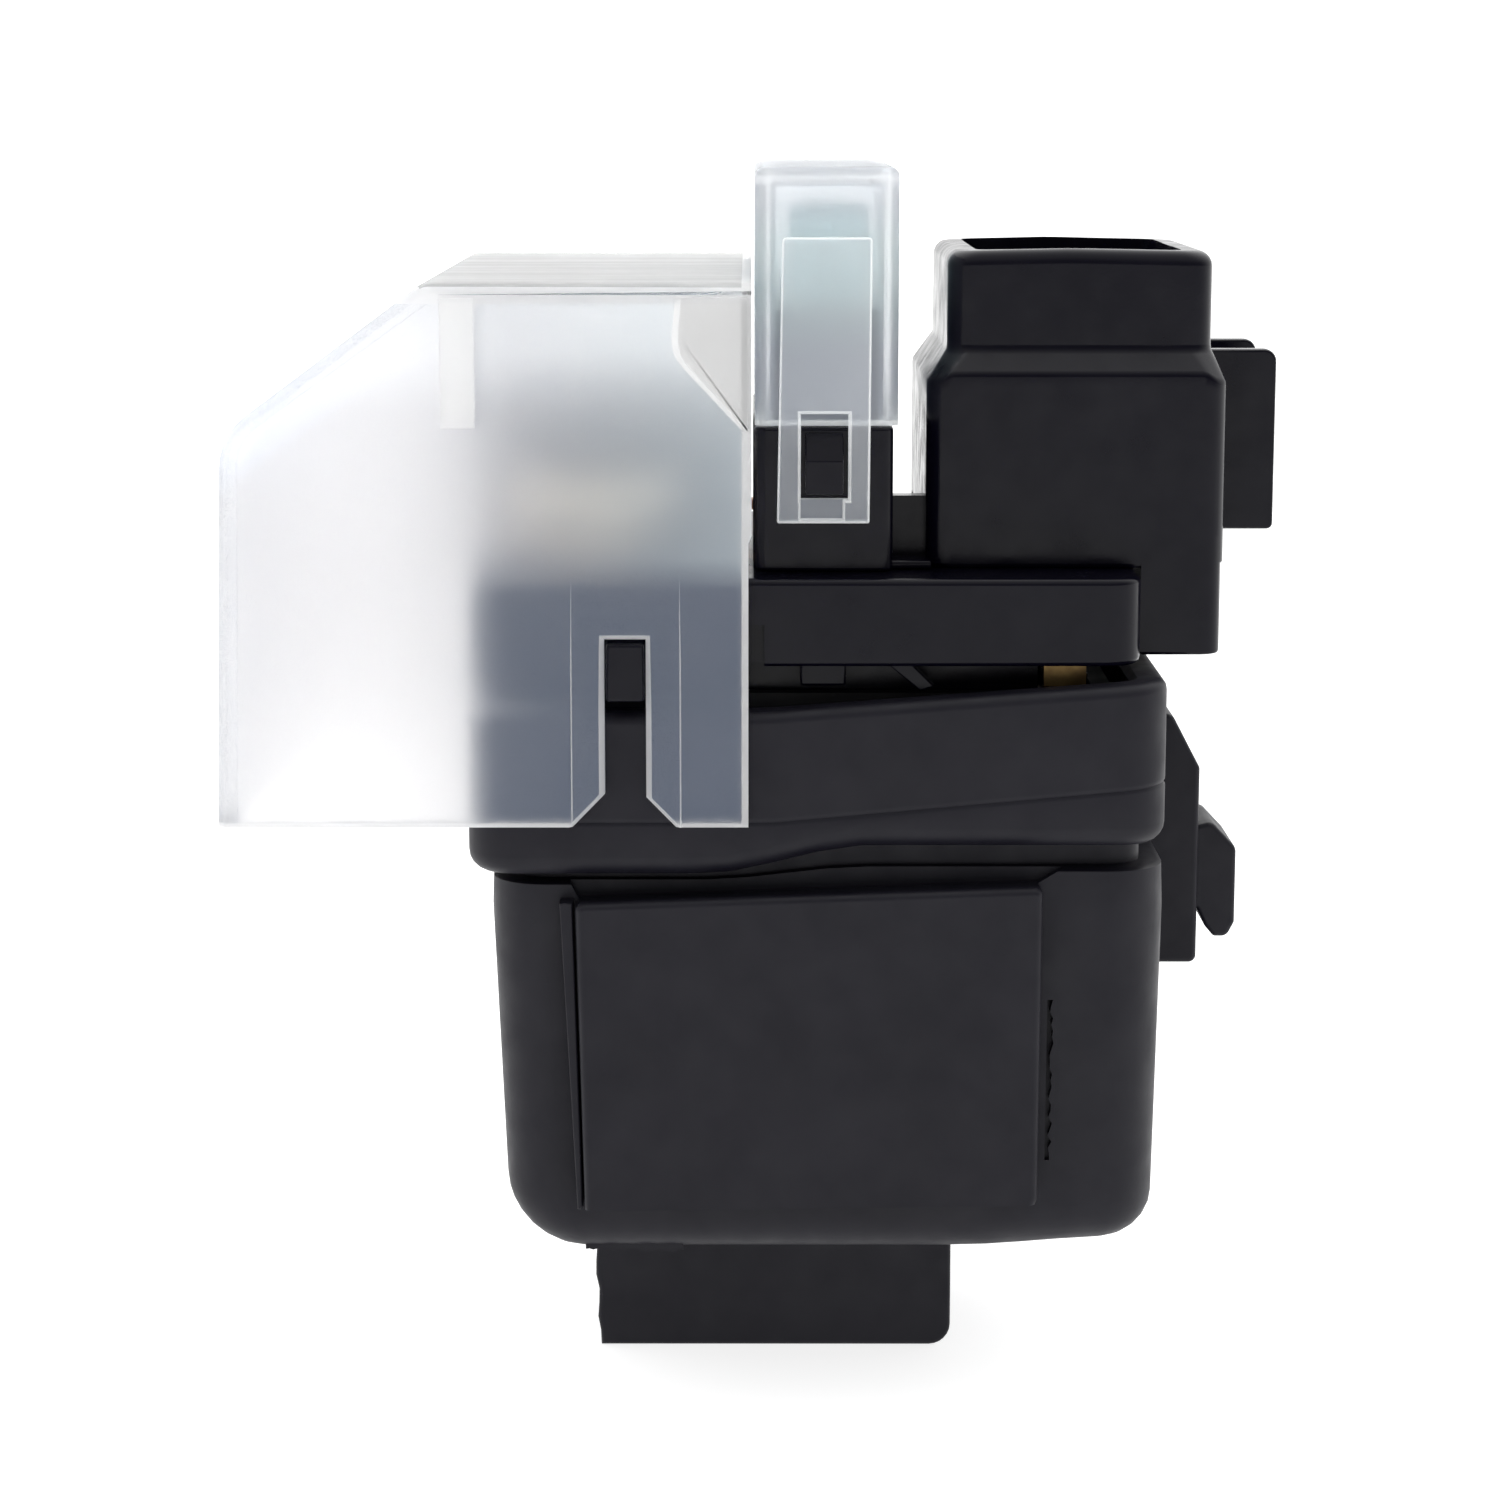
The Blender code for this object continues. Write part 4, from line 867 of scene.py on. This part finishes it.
def lock_guide():
    """Two walls and a ramp on the socket's end face, where a plug's lock would snap in."""
    pieces = []
    for side in (-1, 1):
        inner = SOCKET_Y + 4.2 * side
        low_y, high_y = sorted((inner, inner + 1.4 * side))
        outline = [(29.1, 56.5), (34.0, 56.5, 0.4), (34.0, 68.3, 0.8), (29.1, 68.3)]
        pieces.append(slab(f"lock_wall_{side}", outline, low_y, high_y, "XZ", edge=0.2))
    ramp = [(29.1, 57.4), (31.2, 57.4), (31.2, 58.2), (29.1, 60.2)]
    pieces.append(slab("lock_ramp", ramp, SOCKET_Y - 2.2, SOCKET_Y + 2.2, "XZ", edge=0.12))
    return pieces


def latch_lug(side):
    """A nib on the tower that a strap's window hooks over; its top slopes for the strap to ride up."""
    face = -15.8 if side < 0 else 11.8
    out, inside = face + 1.2 * side, face - 1.0 * side
    low, top = 59.8, 63.6
    tip = face + 0.2 * side
    outline = [(inside, low), (out, low, 0.12), (out, 61.9, 0.2), (tip, top, 0.1), (inside, top)]
    return slab(f"latch_lug_{side}", outline, 3.1, 5.5, "YZ", edge=0.12)


def pin_hole(name, pin, bottom):
    """Room in the socket's floor, from bottom up, around one of its pins."""
    low, high = span(pin)
    return hollow(name, (low.x - ROOM, low.y - ROOM, bottom), (high.x + ROOM, high.y + ROOM, 59.0))


def connector_fuse_block():
    tower_low = (BLOCK_LOW.x - 0.2, -15.8, DECK_TOP + 0.05)
    tower = block("connector_fuse_block_body", tower_low, (8.7, 11.8, 63.95), corner=0.8, edge=0.25)
    cap_low, cap_high = span("fuse_cap")
    clear_of_cap = CAP_WALL + 0.3
    holder_low = (cap_low.x + clear_of_cap, -14.1, 62.0)
    holder_high = (cap_high.x - clear_of_cap, 10.1, 71.3)
    holder = block("fuse_holder", holder_low, holder_high, corner=0.5, edge=0.2)
    foot = DECK_TOP + 0.06
    slope = [(-11.0, foot), (7.0, foot), (7.0, 55.6), (-9.6, 59.1), (-11.0, 59.1)]
    link = slab("tower_link", slope, 7.9, 12.5, "YZ", edge=0.2)
    fillet = block("tower_foot_fillet", (8.3, -14.6, DECK_TOP + 0.07), (11.2, -10.6, 55.3), edge=0.15)
    join = (holder, link, fillet, *socket_pieces(), *lock_guide(), latch_lug(-1), latch_lug(1))
    cavity = block("socket_cavity", (14.1, -11.2, 58.0), (27.3, 7.2, 80.0), corner=1.0, edge=0.0)
    cuts = [cavity]
    for side, clip in ((-1, "fuse_clip_front"), (1, "fuse_clip_rear")):
        low, high = span(clip)
        clip_low, clip_high = (low.x - 0.4, low.y - 0.35, 57.0), (high.x + 0.4, high.y + 0.35, 75.0)
        cuts.append(hollow(f"clip_room_{side}", clip_low, clip_high))
        coil_pin = "connector_pin_coil_front" if side < 0 else "connector_pin_coil_rear"
        cuts.append(pin_hole(f"coil_pin_hole_{side}", coil_pin, 54.0))
        wide_pin = "connector_pin_fused" if side < 0 else "connector_pin_supply"
        cuts.append(pin_hole(f"wide_pin_hole_{side}", wide_pin, 57.0))
    cuts.append(hollow("shank_room", (FUSE_X - 2.15, -9.6, 66.4), (FUSE_X + 2.15, 5.6, 75.0)))
    low, high = span("fuse_feed_bar")
    cuts.append(hollow("feed_channel", (-1.0, low.y - ROOM, 54.0), (high.x + 0.7, high.y + ROOM, 57.5)))
    low, high = span("fuse_output_bar")
    channel_low, channel_high = (low.x - 0.4, low.y - ROOM, 54.0), (high.x + 0.7, high.y + ROOM, 57.5)
    cuts.append(hollow("output_channel", channel_low, channel_high))
    carve(tower, join=join, cut=cuts)
    return settle(tower, PLASTIC, "relay", "connector_fuse_block", slot="base_plastic")


# ---------------------------------------------------------------- terminal hood

HOOD_LOW, HOOD_HIGH = span("terminal_cover")
HOOD_WALL = 1.1
SLOT_TOP = 51.3
SLOT_HALF = 1.3
RIM_CHAMFER = 0.22
RIB_TOP = HOOD_HIGH.z - 0.85
# Widths of the painted highlight bands along the hood's mouth and bottom.
MOUTH_BAND, BOTTOM_BAND = 0.42, 0.26


def hood_outline(inset):
    """The hood's side view: flat top, long slope, rounded corner and upright cable side."""
    left, top = HOOD_LOW.x + inset, HOOD_HIGH.z - inset
    right, bottom = HOOD_HIGH.x + 5.0, HOOD_LOW.z - 5.0
    return [
        (right, top),
        (-20.5 + 0.35 * inset, top, 1.2),
        (-33.2 + 0.9 * inset, 63.9 - 0.3 * inset, 4.3 - inset),
        (left, bottom),
        (right, bottom),
    ]


def slot_outline(grow):
    """The cable slot with its flared mouth; grow widens it evenly."""
    half = SLOT_HALF + grow
    return [
        (SLOT_X - half - 3.2, 38.2), (SLOT_X - half, 41.5), (SLOT_X - half, SLOT_TOP + grow),
        (SLOT_X + half, SLOT_TOP + grow), (SLOT_X + half, 41.3), (SLOT_X + half + 3.2, 38.0),
    ]


def painted(piece, material):
    piece.data.materials.append(material)
    return piece


def slot_chamfer(side):
    """The tool that chamfers the slot's outer rim."""
    rings = []
    for out, grow in ((0.4, 0.4 + RIM_CHAMFER), (-RIM_CHAMFER, 0.0)):
        y = (HOOD_HIGH.y + out) * side
        rings.append([(x, y, z) for x, z in slot_outline(grow)])
    # The chamfer faces take the whiter edge material: a painted highlight round the slot.
    return painted(loft(f"slot_chamfer_{side}", rings), HOOD_EDGE_HIGHLIGHT)


def highlight_corners(piece, material, axis):
    """Give a piece's bevelled corners a whiter material, painted highlight lines along its edges; axis is
    across its broad faces.
    """
    piece.data.materials.append(material)
    for face in piece.data.polygons:
        if 0.2 < abs(face.normal[axis]) < 0.97:
            face.material_index = len(piece.data.materials) - 1
    return piece


def channel_pad(side):
    """The barely raised panel around the slot; it runs out into the wall at its top."""
    outer, inner = HOOD_HIGH.y, HOOD_HIGH.y - 0.5
    profile = [(inner, 38.0), (outer + 0.13, 38.0), (outer + 0.13, 47.0), (outer - 0.02, 57.0), (inner, 57.0)]
    outline = [(y * side, z) for y, z in profile]
    pad = slab(f"channel_pad_{side}", outline, SLOT_X - 3.4, SLOT_X + 3.5, "YZ", edge=0.09, steps=1)
    # The pad's bevelled corners take the whiter edge material: painted highlight lines round the pad.
    return highlight_corners(painted(pad, FROSTED), HOOD_EDGE_HIGHLIGHT, 0)


def hood_gusset(side):
    """The stiffening corner behind the hood's mouth: a flat field with a faint painted glow inside a narrow
    border painted as a glowing highlight line.
    """
    right, inside = HOOD_HIGH.x - 0.05, HOOD_HIGH.y - HOOD_WALL - 0.8
    steps = []
    looks = (("border", HOOD_HIGHLIGHT_LINE, 0.0, 0.04), ("field", HOOD_GUSSET_GLOW, 0.38, 0.07))
    for name, material, shift, out in looks:
        slant = [(-5.0 + shift, RIB_TOP), (-5.3 + shift, 69.0, 2.5), (-0.9 + shift, 64.3)]
        outline = [*slant, (right, 64.3), (right, RIB_TOP)]
        low_y, high_y = sorted(((HOOD_HIGH.y + out) * side, inside * side))
        step = slab(f"hood_gusset_{name}_{side}", outline, low_y, high_y, "XZ", edge=0.03)
        steps.append(painted(step, material))
    return steps


def bisect(bm, place, normal):
    """Cut a mesh's faces along a plane, so that the two sides can have different materials."""
    geometry = [*bm.verts, *bm.edges, *bm.faces]
    bmesh.ops.bisect_plane(bm, geom=geometry, dist=1e-7, plane_co=Vector(place) * MM, plane_no=normal)


def paint_edge_highlights(hood):
    """Give the bands along the hood's mouth and bottom, and along its upper side edges, the whiter edge
    material as painted highlights; the top face takes the darker top material, painted shade.
    """
    right, bottom, top = HOOD_HIGH.x - MOUTH_BAND, HOOD_LOW.z + BOTTOM_BAND, HOOD_HIGH.z - 0.3
    rim = HOOD_HIGH.z - 1.25
    bm = bmesh.new()
    bm.from_mesh(hood.data)
    cuts = (
        ((right, 0.0, 0.0), RIGHTWARDS),
        ((0.0, 0.0, bottom), DOWNWARDS),
        ((0.0, 0.0, rim), UPWARDS),
    )
    for place, normal in cuts:
        bisect(bm, place, normal)
    for face in bm.faces:
        centre = face.calc_center_median() / MM
        if centre.x > right or centre.z < bottom:
            face.material_index = 1
        elif centre.z > top and face.normal.z > 0.35:
            face.material_index = 2
        elif centre.z > rim and abs(centre.y) > HOOD_HIGH.y - 0.8:
            face.material_index = 1
    bm.to_mesh(hood.data)
    bm.free()


def terminal_cover():
    half = HOOD_HIGH.y
    hood = slab("terminal_hood", hood_outline(0.0), -half, half, "XZ", edge=0.7, steps=4)
    # The hood's plastic with its painted glow, the whiter edge copy for painted highlights and the darker top
    # copy for painted shade.
    for look in (FROSTED, HOOD_EDGE_HIGHLIGHT, HOOD_TOP_SHADED):
        painted(hood, look)
    room = slab("hood_room", hood_outline(HOOD_WALL), -half + HOOD_WALL, half - HOOD_WALL, "XZ", edge=0.4)
    edge = HOOD_HIGH.x
    mouth = [(edge, 20.0), (edge, 57.3), (edge + 0.2, 57.8), (edge + 0.2, 90.0), (20.0, 90.0), (20.0, 20.0)]
    # The cut faces of the mouth, underside and slot take the whiter edge material: painted highlights.
    cuts = [
        painted(room, FROSTED),
        painted(slab("hood_mouth", mouth, -30.0, 30.0, "XZ", edge=0.0), HOOD_EDGE_HIGHLIGHT),
        painted(block("hood_underside", (-50.0, -30.0, 20.0), (20.0, 30.0, HOOD_LOW.z), edge=0.0), HOOD_EDGE_HIGHLIGHT),
        painted(slab("hood_slot", slot_outline(0.0), -30.0, 30.0, "XZ", edge=0.0), HOOD_EDGE_HIGHLIGHT),
        slot_chamfer(-1),
        slot_chamfer(1),
    ]
    carve(hood, join=(channel_pad(-1), channel_pad(1)))
    carve(hood, cut=cuts)
    extras = []
    for side in (-1, 1):
        low_y, high_y = sorted((19.6 * side, (half + 0.04) * side))
        # The tongues are made in the whiter edge material: painted highlights.
        tongue = block(f"hood_tongue_{side}", (-19.5, low_y, 64.4), (-17.3, high_y, RIB_TOP), edge=0.12)
        extras += [painted(tongue, HOOD_EDGE_HIGHLIGHT), *hood_gusset(side)]
    carve(hood, join=extras)
    paint_edge_highlights(hood)
    shade(hood)
    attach(hood, "cover")
    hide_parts("terminal_cover")
    return hood


# ---------------------------------------------------------------- cap, latches and fuse


def highlight_foot(piece, material, height):
    """Give the part of a piece below a height another material."""
    piece.data.materials.append(material)
    bm = bmesh.new()
    bm.from_mesh(piece.data)
    bisect(bm, (0.0, 0.0, height), UPWARDS)
    for face in bm.faces:
        if face.calc_center_median().z < height * MM:
            face.material_index = len(piece.data.materials) - 1
    bm.to_mesh(piece.data)
    bm.free()


def fuse_cap():
    low, high = span("fuse_cap")
    low.z -= 0.18
    cap = block("fuse_cap_shell", low, high, corner=0.8, edge=0.6, steps=(5, 4), ends=(1,))
    room = block(
        "cap_room",
        (low.x + CAP_WALL, low.y + CAP_WALL, low.z - 4.0),
        (high.x - CAP_WALL, high.y - CAP_WALL, high.z - CAP_WALL),
        corner=0.4,
        edge=0.3,
        ends=(1,),
    )
    mark = block("cap_mark", (2.8, low.y - 1.0, 79.05), (6.1, low.y + 0.12, 79.22), edge=0.0)
    carve(painted(cap, CLEAR), cut=(painted(room, CLEAR), painted(mark, CLEAR)))
    # The cap's foot takes the whiter, glowing edge material: a painted highlight along its bottom edge.
    highlight_foot(cap, CLEAR_EDGE_HIGHLIGHT, low.z + 0.32)
    return settle(cap, None, "cap", "fuse_cap", slot="clear_plastic")


def rectangle_ring(low, high, grow, y):
    """The corners of a rectangle in XZ at a depth, moved outwards by grow."""
    left, right = low[0] - grow, high[0] + grow
    bottom, top = low[1] - grow, high[1] + grow
    return [(left, y, bottom), (right, y, bottom), (right, y, top), (left, y, top)]


def cap_latch(node, side):
    """A strap that hooks its window over a lug: two rails, a thinner web and whitish edges painted as glowing
    highlights.
    """
    low, high = span(node)
    centre = (low.x + high.x) / 2
    back = high.y if side < 0 else low.y
    front = low.y if side < 0 else high.y
    plate_back = front - 1.1 * side
    inner_y, outer_y = sorted((plate_back, front))
    outline = [
        (low.x - 0.15, low.z, 0.15), (high.x - 0.1, low.z, 0.15),
        (high.x, high.z, 0.3), (low.x + 0.15, high.z, 0.3),
    ]
    strap = slab(node + "_strap", outline, inner_y, outer_y, "XZ", edge=0.13, steps=2)
    # The strap's bevelled corners take the whiter, glowing edge material: painted highlights.
    highlight_corners(painted(strap, CLEAR), CLEAR_EDGE_HIGHLIGHT, 1)
    low_y, high_y = sorted((back, plate_back + 0.5 * side))
    root_low, root_high = (low.x + 0.2, low_y, high.z - 2.6), (high.x - 0.2, high_y, high.z - 0.1)
    root = block(node + "_root", root_low, root_high, edge=0.1)
    left, right, bottom, top = centre - 1.55, centre + 1.45, 59.5, 64.9
    recess = [
        rectangle_ring((left, low.z + 0.3), (right - 0.35, bottom + 0.3), grow, front + out * side)
        for out, grow in ((0.5, 0.35), (-0.35, 0.0))
    ]
    rim = [
        rectangle_ring((left, bottom), (right, top), grow, front + out * side)
        for out, grow in ((0.4, 0.55), (-0.2, 0.01))
    ]
    low_y, high_y = sorted((plate_back - 2.0 * side, front + 2.0 * side))
    # The cut faces of the recess, the window's rim and the window take the whiter, glowing edge material:
    # painted highlights.
    cuts = (
        painted(loft(node + "_recess", recess), CLEAR_EDGE_HIGHLIGHT),
        painted(loft(node + "_rim", rim), CLEAR_EDGE_HIGHLIGHT),
        painted(block(node + "_window", (left, low_y, bottom), (right, high_y, top), edge=0.0), CLEAR_EDGE_HIGHLIGHT),
    )
    # The recess's sloping sides take the whiter, glowing edge material, a painted highlight, and its floor is
    # clear.
    painted(cuts[0], CLEAR)
    for face in cuts[0].data.polygons:
        if abs(face.normal.y) > 0.9:
            face.material_index = 1
    carve(strap, join=(painted(root, CLEAR),), cut=cuts)
    return settle(strap, None, "cap", node, slot="clear_plastic")


def fuse_body():
    low, high = span("fuse_body")
    head_bottom = 71.6
    outline = [
        (low.y, head_bottom, 0.3), (high.y, head_bottom, 0.3),
        (high.y, high.z, 1.6), (low.y, high.z, 1.6),
    ]
    head = slab("fuse_body_shell", outline, low.x, high.x, "YZ", edge=0.7, steps=4)
    shank = block("fuse_shank", (FUSE_X - 1.75, -9.2, low.z), (FUSE_X + 1.75, 5.2, 72.2), edge=0.2)
    slot = block("fuse_slot", (FUSE_X - 0.65, -11.25, 60.0), (FUSE_X + 0.65, 7.25, 75.5), edge=0.0)
    carve(head, join=(shank,), cut=(slot,))
    return settle(head, FUSE_PLASTIC, "fuse", "fuse_body", slot="fuse_plastic")


# ---------------------------------------------------------------- springs


def spring_turns(node, body):
    """A CAD spring copied as a piece of spring steel that rides with a body, in place of the CAD node."""
    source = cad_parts[node]
    piece = bpy.data.objects.new(node + "_turns", source.data.copy())
    bpy.context.scene.collection.objects.link(piece)
    piece.matrix_world = source.matrix_world
    piece.data.materials.clear()
    piece.data.materials.append(SPRING)
    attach(piece, body)
    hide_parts(node)
    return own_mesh(piece)


# ---------------------------------------------------------------- pieces carried over from the CAD

NODE_LOOKS = {
    "case_seal": SEAL,
    "coil_case": PLASTIC,
    "bobbin": BOBBIN_PLASTIC,
    "coil_winding": WINDING,
    "fixed_core": IRON,
    "plunger": IRON,
    "plunger_rod": TINNED,
    "yoke": ZINC,
    "retaining_clip": SPRING,
    "contact_bridge": COPPER,
    "coil_lead": COPPER,
    "coil_terminal": BRASS,
    "fuse_clip": BRASS,
    "fuse_blades": TINNED,
    "fuse_feed_bar": COPPER,
    "fuse_output_bar": COPPER,
    "connector_pin": TINNED,
    "terminal_bar": COPPER,
    "terminal_nut": ZINC,
    "terminal_screw": ZINC,
    "flat_washer": ZINC,
    "spring_washer": ZINC,
}


def dress_nodes():
    """Give every CAD node its material: the longest matching start of its name decides."""
    for name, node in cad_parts.items():
        keys = [key for key in NODE_LOOKS if name.startswith(key)]
        if not keys:
            continue
        look = NODE_LOOKS[max(keys, key=len)]
        node.data.materials.clear()
        node.data.materials.append(look)


# ---------------------------------------------------------------- studio


def studio_floor():
    bm = bmesh.new()
    bmesh.ops.create_grid(bm, x_segments=1, y_segments=1, size=12.0)
    floor = mesh_object("studio_floor", bm)
    floor.location.z = (BOOT_LOW.z - 0.02) * MM
    look = Look("pale_floor", (0.5, 0.5, 0.5), 0.7)
    look.shader.inputs["Emission Color"].default_value = (1.0, 1.0, 1.0, 1.0)
    look.shader.inputs["Emission Strength"].default_value = 0.8
    look.tint(look.noise(300.0, detail=2.0), (0.51, 0.51, 0.51), (0.49, 0.49, 0.49))
    floor.data.materials.append(look.material)


FRONT_LIGHT = 0.26
BACK_LIGHT = 1.35
TOP_LIGHT = 1.0


def studio_world():
    """A soft white surround: bright above and behind, dimmer on the viewer's side."""
    world = bpy.data.worlds.new("studio")
    bpy.context.scene.world = world
    world.use_nodes = True
    tree = world.node_tree
    background = tree.nodes["Background"]
    coordinate = tree.nodes.new("ShaderNodeTexCoord")
    parts = tree.nodes.new("ShaderNodeSeparateXYZ")
    tree.links.new(coordinate.outputs["Generated"], parts.inputs["Vector"])

    def graded(axis, low, high, first, last):
        node = tree.nodes.new("ShaderNodeMapRange")
        node.interpolation_type = "SMOOTHSTEP"
        for key, value in (("From Min", low), ("From Max", high), ("To Min", first), ("To Max", last)):
            node.inputs[key].default_value = value
        tree.links.new(parts.outputs[axis], node.inputs["Value"])
        return node.outputs["Result"]

    depth = graded("Y", -0.55, 0.35, FRONT_LIGHT, BACK_LIGHT)
    overhead = graded("Z", 0.25, 1.0, 0.0, TOP_LIGHT)
    total = tree.nodes.new("ShaderNodeMath")
    total.operation = "ADD"
    tree.links.new(depth, total.inputs[0])
    tree.links.new(overhead, total.inputs[1])
    tree.links.new(total.outputs["Value"], background.inputs["Strength"])
    background.inputs["Color"].default_value = (1.0, 1.0, 1.0, 1.0)


LENS, SENSOR = 86.4, 36.0
CAMERA_PLACE = (-0.4, -243.37, 84.62)
CAMERA_TILT = 10.312


def camera():
    data = bpy.data.cameras.new("camera")
    data.lens = LENS
    data.sensor_width = SENSOR
    data.clip_start, data.clip_end = 0.01, 50.0
    made = bpy.data.objects.new("camera", data)
    made.location = Vector(CAMERA_PLACE) * MM
    made.rotation_euler = (math.radians(90.0 - CAMERA_TILT), 0.0, 0.0)
    bpy.context.scene.collection.objects.link(made)
    bpy.context.scene.camera = made
    bpy.context.scene.view_settings.view_transform = "Standard"


studio_floor()
studio_world()
camera()
dress_nodes()
rubber_boot()
contact_base()
connector_fuse_block()
terminal_cover()
fuse_cap()
cap_latch("fuse_cap_latch_front", -1)
cap_latch("fuse_cap_latch_rear", 1)
fuse_body()
spring_turns("return_spring", "relay")
spring_turns("contact_spring", "bridge")
